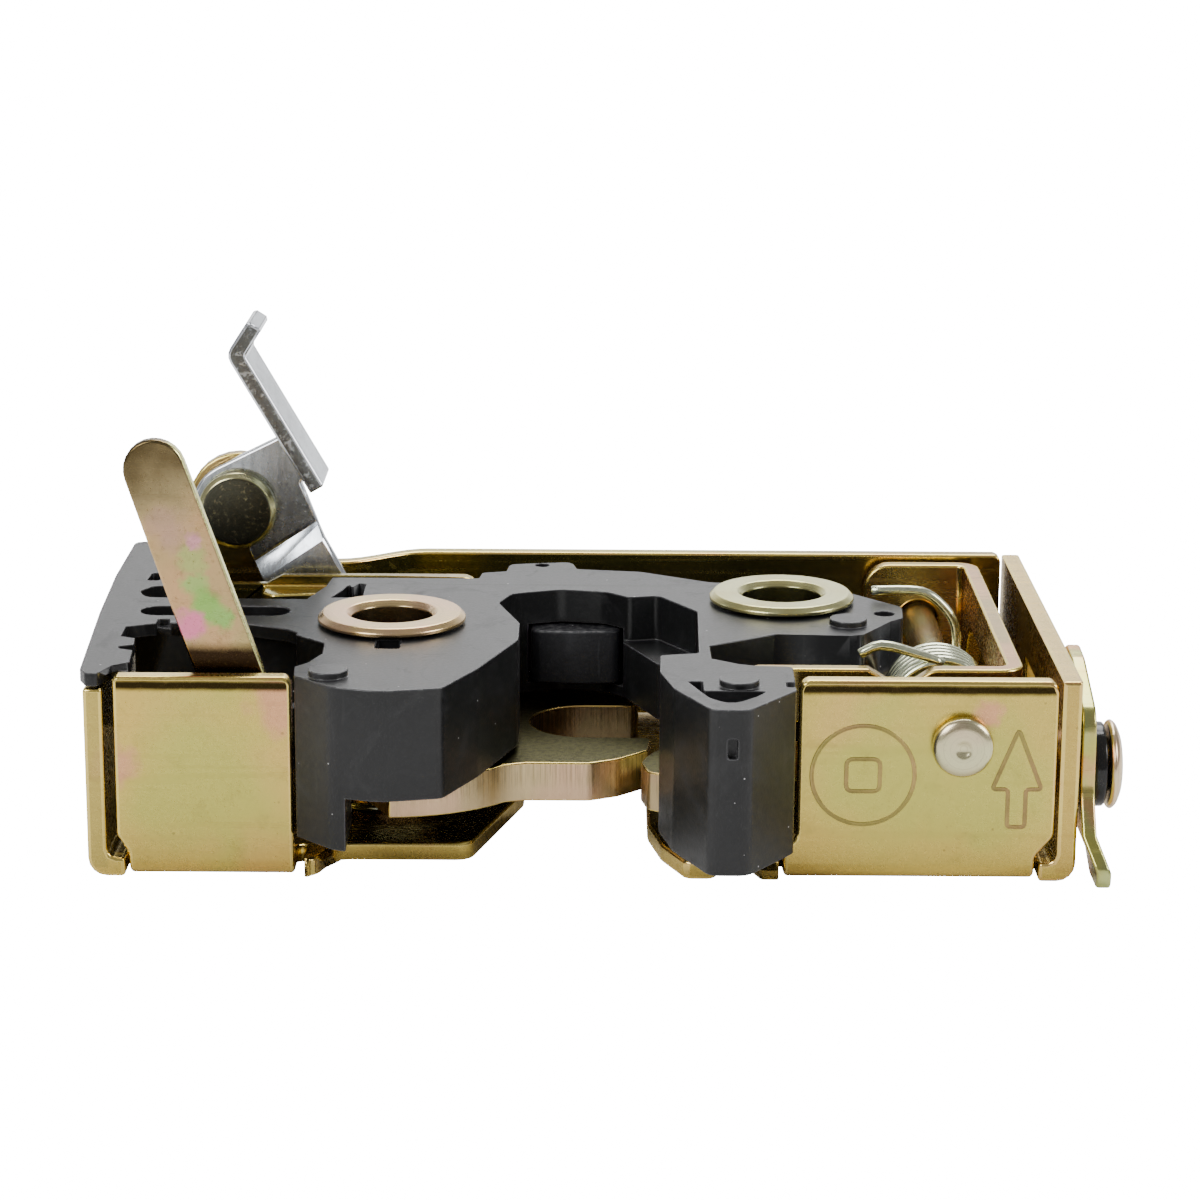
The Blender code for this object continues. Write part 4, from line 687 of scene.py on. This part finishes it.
# %% The two bushes
BUSH_BORE = 4.25
BUSH_SHANK = 5.4
RING_HEIGHT = 0.9
INNER_CHAMFER = 0.6
OUTER_CHAMFER = 0.5
for node, colour, warm in (("catch_bush", (0.84, 0.62, 0.30), (0.84, 0.52, 0.36)),
                           ("pawl_bush", (0.72, 0.70, 0.36), (0.62, 0.54, 0.20))):
    low, high = corners_in_mm(node)
    ring = (high[0] - low[0]) / 2
    foot, top = low[2], high[2]
    coat = turned_zinc(node + " zinc", node, "Z", colour, warm, dark_within=(BUSH_BORE + 0.1) * MM)
    turned_piece(node, [
        (BUSH_BORE, foot), (BUSH_BORE, top - INNER_CHAMFER), (BUSH_BORE + INNER_CHAMFER, top),
        (ring - OUTER_CHAMFER, top), (ring, top - OUTER_CHAMFER), (ring, top - RING_HEIGHT),
        (BUSH_SHANK, top - RING_HEIGHT), (BUSH_SHANK, foot),
    ], "Z", coat, hollow=True, radius=0.12)
    print(node, "ring radius in mm:", round(ring, 2))

# %% [markdown]
# The release pin lies along Y, and its riveted head has a wide rim round a shallow dimple. The stud of the
# outside lever lies along X. It has a low domed head, and a glossy black washer lies under that.

# %% Release pin, stud and washer
low, high = corners_in_mm("release_pin")
head = (high[0] - low[0]) / 2
face = low[1]
coat = turned_zinc("pin zinc", "release_pin", "Y", (0.74, 0.70, 0.42), (0.78, 0.56, 0.40))
turned_piece("release_pin", [
    (0, face + 0.30), (0.5, face + 0.24), (0.9, face + 0.02), (1.6, face), (2.4, face + 0.05),
    (head, face + 0.5), (head, face + 1.6), (2.0, face + 1.6), (2.0, high[1]), (0, high[1]),
], "Y", coat, radius=0.4)
print("head of the release pin, radius in mm:", round(head, 2))

low, high = corners_in_mm("lever_stud")
head = (high[2] - low[2]) / 2
foot, face = low[0], high[0]
coat = turned_zinc("stud zinc", "lever_stud", "X", (0.78, 0.64, 0.40), (0.80, 0.50, 0.36))
turned_piece("lever_stud", [
    (0, foot), (3.8, foot), (3.8, foot + 1.0), (2.5, foot + 1.0), (2.5, face - 1.5),
    (head - 0.3, face - 1.5), (head, face - 1.1), (head - 0.4, face - 0.6), (head - 1.6, face - 0.1),
    (0, face),
], "X", coat, radius=0.5)
print("head of the stud, radius in mm:", round(head, 2))

low, high = corners_in_mm("lever_washer")
rim = (high[2] - low[2]) / 2
turned_piece("lever_washer", [
    (2.8, low[0]), (2.8, high[0]), (rim, high[0]), (rim, low[0]),
], "X", GLOSS, hollow=True, radius=0.35)
print("washer, radius in mm:", round(rim, 2))

# %% [markdown]
# The rivet in the ear has a flat dark face inside a rounded rim, and the lock lever's pin is a small flat
# rivet that mostly hides behind the flange.

# %% Rivet and lock pin
low, high = corners_in_mm("inside_rivet")
head = (high[0] - low[0]) / 2
face, end = low[1], high[1]
coat = turned_zinc("rivet zinc", "inside_rivet", "Y", (0.62, 0.62, 0.34), (0.66, 0.56, 0.30),
                   dark_within=(head - 0.5) * MM)
turned_piece("inside_rivet", [
    (0, face + 0.06), (head - 0.55, face), (head, face + 0.55), (head, face + 1.7), (2.6, face + 1.7),
    (2.6, end - 0.8), (head - 0.6, end - 0.8), (head - 0.6, end), (0, end),
], "Y", coat, radius=0.2)
print("head of the rivet, radius in mm:", round(head, 2))

low, high = corners_in_mm("lock_pin")
head = (high[0] - low[0]) / 2
face, end = low[1], high[1]
coat = turned_zinc("lock pin zinc", "lock_pin", "Y", (0.5, 0.42, 0.22), PINK)
turned_piece("lock_pin", [
    (0, face), (head, face), (head, face + 0.6), (1.5, face + 0.6), (1.5, end - 0.7),
    (head - 0.3, end - 0.7), (head - 0.3, end), (0, end),
], "Y", coat, radius=0.25)
print("head of the lock pin, radius in mm:", round(head, 2))

# %% [markdown]
# A spring is one round wire bent along a path. A tube round a path needs, at each point, two directions
# across the path. They come from cross products with a helper direction that is never along the path: it
# points away from the coil's axis on the coil, and turns to a fixed one along each leg.


# %% A wire along a path
def unit(vectors):
    """Return vectors scaled to length 1."""
    return vectors / np.linalg.norm(vectors, axis=-1, keepdims=True)


def wire_grid(path, helper, radius, around=14):
    """Return a tube round a path: point + radius * (cos(a) * side + sin(a) * up), with rounded ends.

    side is across the path and the helper, and up is across the path and side.
    """
    way = unit(np.gradient(path, axis=0))
    side = unit(np.cross(way, helper))
    up = np.cross(side, way)
    turn = np.linspace(0, 2 * math.pi, around, endpoint=False)[None, :, None]
    rim = np.cos(turn) * side[:, None] + np.sin(turn) * up[:, None]
    # Two more rings at each end shrink to a point and close the wire with a small dome
    thick = np.full(len(path) + 4, radius)
    thick[[0, 1, -2, -1]] = [0, radius * 0.75, radius * 0.75, 0]
    ends = np.concatenate([[0, 0], np.arange(len(path)), [len(path) - 1] * 2])
    centre = path[ends]
    centre[:2] += way[0] * 0.05
    centre[2] += way[0] * 0.15
    centre[-2:] -= way[-1] * 0.05
    centre[-3] -= way[-1] * 0.15
    return (centre[:, None] + rim[ends] * thick[:, None, None]) * MM


def smooth_path(points, helpers, samples=3):
    """Return a path and its helpers through given points, as a Catmull-Rom curve.

    Between the points b and c, with neighbours a and d, the place at t is half of
    2b + (c - a) t + (2a - 5b + 4c - d) t^2 + (3b - a - 3c + d) t^3.
    """
    both = np.concatenate([np.array(points, float), np.array(helpers, float)], axis=1)
    padded = np.concatenate([2 * both[:1] - both[1:2], both, 2 * both[-1:] - both[-2:-1]])
    a, b, c, d = padded[:-3, None], padded[1:-2, None], padded[2:-1, None], padded[3:, None]
    t = np.linspace(0, 1, samples, endpoint=False)[None, :, None]
    square = 2 * a - 5 * b + 4 * c - d
    cube = 3 * b - a - 3 * c + d
    curve = (2 * b + (c - a) * t + square * t ** 2 + cube * t ** 3) / 2
    curve = np.concatenate([curve.reshape(-1, 6), both[-1:]])
    return curve[:, :3], curve[:, 3:]


# %% [markdown]
# The release spring is wound loosely over the pin. Its front leg ends behind the bracket's ear. Its back leg
# runs low along the pin, climbs behind it and over it, and rests on the housing.

# %% The release spring
PIN_X, _, PIN_Z = middle_in_mm("release_pin")
COIL_X = PIN_X - 1.4
COIL_Z = PIN_Z + 1.3
COIL_RADIUS = 4.9
COIL_FRONT = -14.0
COIL_PITCH = 1.25
COIL_TURNS = 5.6
COIL_SAMPLES = 116
COIL_WIRE = 0.52
CLIMB_Y = 9.4
LEG_REST = 22.6

turn = np.linspace(0, COIL_TURNS, COIL_SAMPLES)
angle = math.pi / 2 + 2 * math.pi * turn
outward = np.stack([np.cos(angle), np.zeros_like(angle), np.sin(angle)], axis=1)
coil = np.array([COIL_X, 0, COIL_Z]) + outward * COIL_RADIUS
coil[:, 1] = COIL_FRONT + COIL_PITCH * turn
top = COIL_Z + COIL_RADIUS
front_leg = [
    (COIL_X - 8.6, COIL_FRONT, top + 0.9), (COIL_X - 6.3, COIL_FRONT, top + 1.9),
    (COIL_X - 3.0, COIL_FRONT, top + 1.1),
]
end = coil[-1]
back_leg = [
    (end[0] + 0.9, 1.0, end[2] + 0.5), (end[0] + 1.0, 6.6, end[2] + 0.6),
    (PIN_X + 2.7, CLIMB_Y - 0.2, PIN_Z + 0.4), (PIN_X + 2.4, CLIMB_Y, LEG_REST - 4.0),
    (PIN_X + 1.0, CLIMB_Y, LEG_REST - 1.8), (PIN_X - 0.8, CLIMB_Y, LEG_REST - 0.4),
    (PIN_X - 2.8, CLIMB_Y, LEG_REST), (PIN_X - 7.0, CLIMB_Y - 0.3, LEG_REST),
]
helpers = [(0, 0, 1)] * len(front_leg) + outward.tolist() + [(1, -0.5, 0.6)] * len(back_leg)
path, helper = smooth_path([*front_leg, *coil.tolist(), *back_leg], helpers)
spring = grid_piece("look_release_spring", wire_grid(path, helper, COIL_WIRE), WIRE, close_columns=True)
stand_in(spring, "release_spring")
print("release spring: points along the wire", len(path))

# %% [markdown]
# Under the housing, a flat coil lies round each bush. Little of it shows, so it keeps a plain spiral and a
# straight leg that points away from the bush.

# %% The two hub springs
HUB_RADIUS = 7.2
HUB_FOOT = 2.75
HUB_PITCH = 1.15
HUB_TURNS = 1.4
HUB_SAMPLES = 44
HUB_WIRE = 0.45
HUB_LEG = 4.0
for node, bush, first in (("catch_spring", "catch_bush", 150), ("pawl_spring", "pawl_bush", 20)):
    turn = np.linspace(0, HUB_TURNS, HUB_SAMPLES)
    angle = math.radians(first) + 2 * math.pi * turn
    outward = np.stack([np.cos(angle), np.sin(angle), np.zeros_like(angle)], axis=1)
    coil = middle_in_mm(bush) + outward * HUB_RADIUS
    coil[:, 2] = HUB_FOOT + HUB_PITCH * turn
    leg = coil[-1:] + outward[-1:] * HUB_LEG
    path, helper = smooth_path(np.concatenate([coil, leg]), [(0, 0, 1)] * (HUB_SAMPLES + 1))
    spring = grid_piece("look_" + node, wire_grid(path, helper, HUB_WIRE, 10), WIRE, close_columns=True)
    stand_in(spring, node)
print("hub springs: 2")

# %% [markdown]
# The right flange carries shallow marks struck with a punch: a ring round a small square, and an arrow that
# says which way up the lock goes. A punch pushes the metal aside, so each line is a low valley between two
# tiny ridges. The section of such a line is carried along each drawn path.


# %% Struck marks
def even_path(corners, radius, step=0.15):
    """Return a closed path through rounded corners, as points step apart along its length."""
    soft = soft_profile([corners[-1], *corners, corners[0]], radius)[1:-1]
    ring = np.concatenate([soft, soft[:1]])
    length = np.concatenate([[0], np.cumsum(np.linalg.norm(np.diff(ring, axis=0), axis=1))])
    there = np.arange(0, length[-1] - step / 2, step)
    return np.stack([np.interp(there, length, ring[:, 0]), np.interp(there, length, ring[:, 1])], axis=1)


def struck_line(name, path):
    """Add a struck line: its section, a valley between two ridges, runs along a closed path.

    The section is (share of the half width, height in mm) and its foot lies inside the sheet.
    """
    way = unit(np.roll(path, -1, axis=0) - np.roll(path, 1, axis=0))
    aside = np.stack([-way[:, 1], way[:, 0]], axis=1)
    flat = path[:, None] + aside[:, None] * LINE_SECTION[None, :, :1] * LINE_HALF_WIDTH
    deep = np.broadcast_to(FLANGE_FRONT / MM - LINE_SECTION[:, 1], flat.shape[:2])
    points = np.stack([flat[..., 0], deep, flat[..., 1]], axis=-1) * MM
    piece = grid_piece(name, points, ZINC_MARK, close_rows=True, close_columns=True)
    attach(piece, "case")


# %% The ring, the square and the arrow
LINE_HALF_WIDTH = 0.26
LINE_SECTION = np.array([
    (-1.0, -0.05), (-0.72, 0.055), (-0.36, 0.008), (0.36, 0.008), (0.72, 0.055), (1.0, -0.05),
])
# The struck lines' dark colour is partly painted shade in their grooves.
ZINC_MARK = zinc("struck zinc with painted groove shade", pink=0.3, green=0.3, cloud=0.006, roughness=0.3, base=(0.30, 0.23, 0.08),
                 mottle=0.3)
RING_X, RING_Z = 26.9, 11.3
RING_RADIUS = 5.2
SQUARE = [(25.2, 9.6), (28.6, 9.6), (28.6, 13.0), (25.2, 13.0)]
ARROW = [(42.5, 16.2), (40.0, 9.9), (41.6, 9.9), (41.6, 5.9), (43.4, 5.9), (43.4, 9.9), (45.0, 9.9)]
turn = np.linspace(0, 2 * math.pi, 160, endpoint=False)
ring = np.stack([RING_X + RING_RADIUS * np.cos(turn), RING_Z + RING_RADIUS * np.sin(turn)], axis=1)
struck_line("struck_ring", ring)
struck_line("struck_square", even_path(SQUARE, 0.7))
struck_line("struck_arrow", even_path(ARROW, 0.4))
print("struck marks: 3")

# %% [markdown]
# A product photograph has a white table and a large pale field behind, which the flat tops mirror at a low
# angle, while the room above is darker. The floor is one sheet that rises behind the lock, so that no
# horizon shows. Seen directly it is brighter than its own light, as an overexposed table is.

# %% The floor
FLOOR_HALF = 3.0
FLOOR_GREY = (0.85, 0.85, 0.85, 1)
WHITE = (1, 1, 1, 1)
GLOW_STRENGTH = 20.0
GLOW_SHARE = 0.9
SWEEP_START = 0.9
SWEEP_RADIUS = 0.8


def sweep_profile():
    """Return the backdrop's section: flat, a quarter circle, then straight up."""
    turn = np.linspace(0, math.pi / 2, 24)
    bend_y = SWEEP_START + SWEEP_RADIUS * np.sin(turn)
    bend_z = SWEEP_RADIUS * (1 - np.cos(turn))
    y = np.concatenate([[-FLOOR_HALF], bend_y, [SWEEP_START + SWEEP_RADIUS]])
    z = np.concatenate([[0.0], bend_z, [FLOOR_HALF]])
    return y, z


y, z = sweep_profile()
x = np.array([-FLOOR_HALF, FLOOR_HALF])
grid = np.stack(np.broadcast_arrays(x[None, :], y[:, None], z[:, None]), axis=-1)
pale = Finish("pale floor", roughness=0.9)
coat = pale.done(Base_Color=FLOOR_GREY)
glow = pale.add("ShaderNodeEmission", {}, {"Color": WHITE, "Strength": GLOW_STRENGTH})
seen = pale.add("ShaderNodeLightPath", {}, {}) * GLOW_SHARE
shown = pale.add("ShaderNodeMixShader", {}, {0: seen, 1: Value(pale, pale.shader.outputs[0]), 2: glow})
pale.link(shown, pale.tree.nodes["Material Output"].inputs["Surface"])
floor = grid_piece("floor", grid, coat)
print("floor: metres across", 2 * FLOOR_HALF)

# %% [markdown]
# One wide lamp lights the backdrop, which the flat tops mirror. Two lamps model the front and the sides,
# and a weak one from behind draws the rear edges. A dim white world fills the shadows.


# %% Lights
def soft_light(name, place, aim, size, power):
    """Add a square lamp that shines from place to aim. The sizes are in metres and the power in watts."""
    lamp = bpy.data.lights.new(name, "AREA")
    lamp.size = size
    lamp.energy = power
    item = bpy.data.objects.new(name, lamp)
    way = np.array(place) - np.array(aim)
    turn = math.atan2(way[0], -way[1])
    tilt = math.atan2(math.hypot(way[0], way[1]), way[2])
    item.matrix_world = (Matrix.Translation(place) @ Matrix.Rotation(turn, 4, "Z")
                         @ Matrix.Rotation(tilt, 4, "X"))
    bpy.context.scene.collection.objects.link(item)


LOCK_MIDDLE = (0, 0, 0.01)
BACKDROP = (0, 1.6, 0.5)
WORLD_STRENGTH = 0.3
soft_light("backdrop", (0.0, 0.5, 1.3), BACKDROP, size=0.9, power=26)
soft_light("left", (-0.69, -0.74, 0.72), LOCK_MIDDLE, size=0.6, power=9)
soft_light("right", (1.0, -0.3, 0.6), LOCK_MIDDLE, size=0.5, power=7)
soft_light("back", (0.1, 0.7, 0.8), LOCK_MIDDLE, size=0.5, power=5)
world = bpy.data.worlds.new("studio")
world.use_nodes = True
world.node_tree.nodes["Background"].inputs["Color"].default_value = WHITE
world.node_tree.nodes["Background"].inputs["Strength"].default_value = WORLD_STRENGTH
bpy.context.scene.world = world
print("lamps: 4")
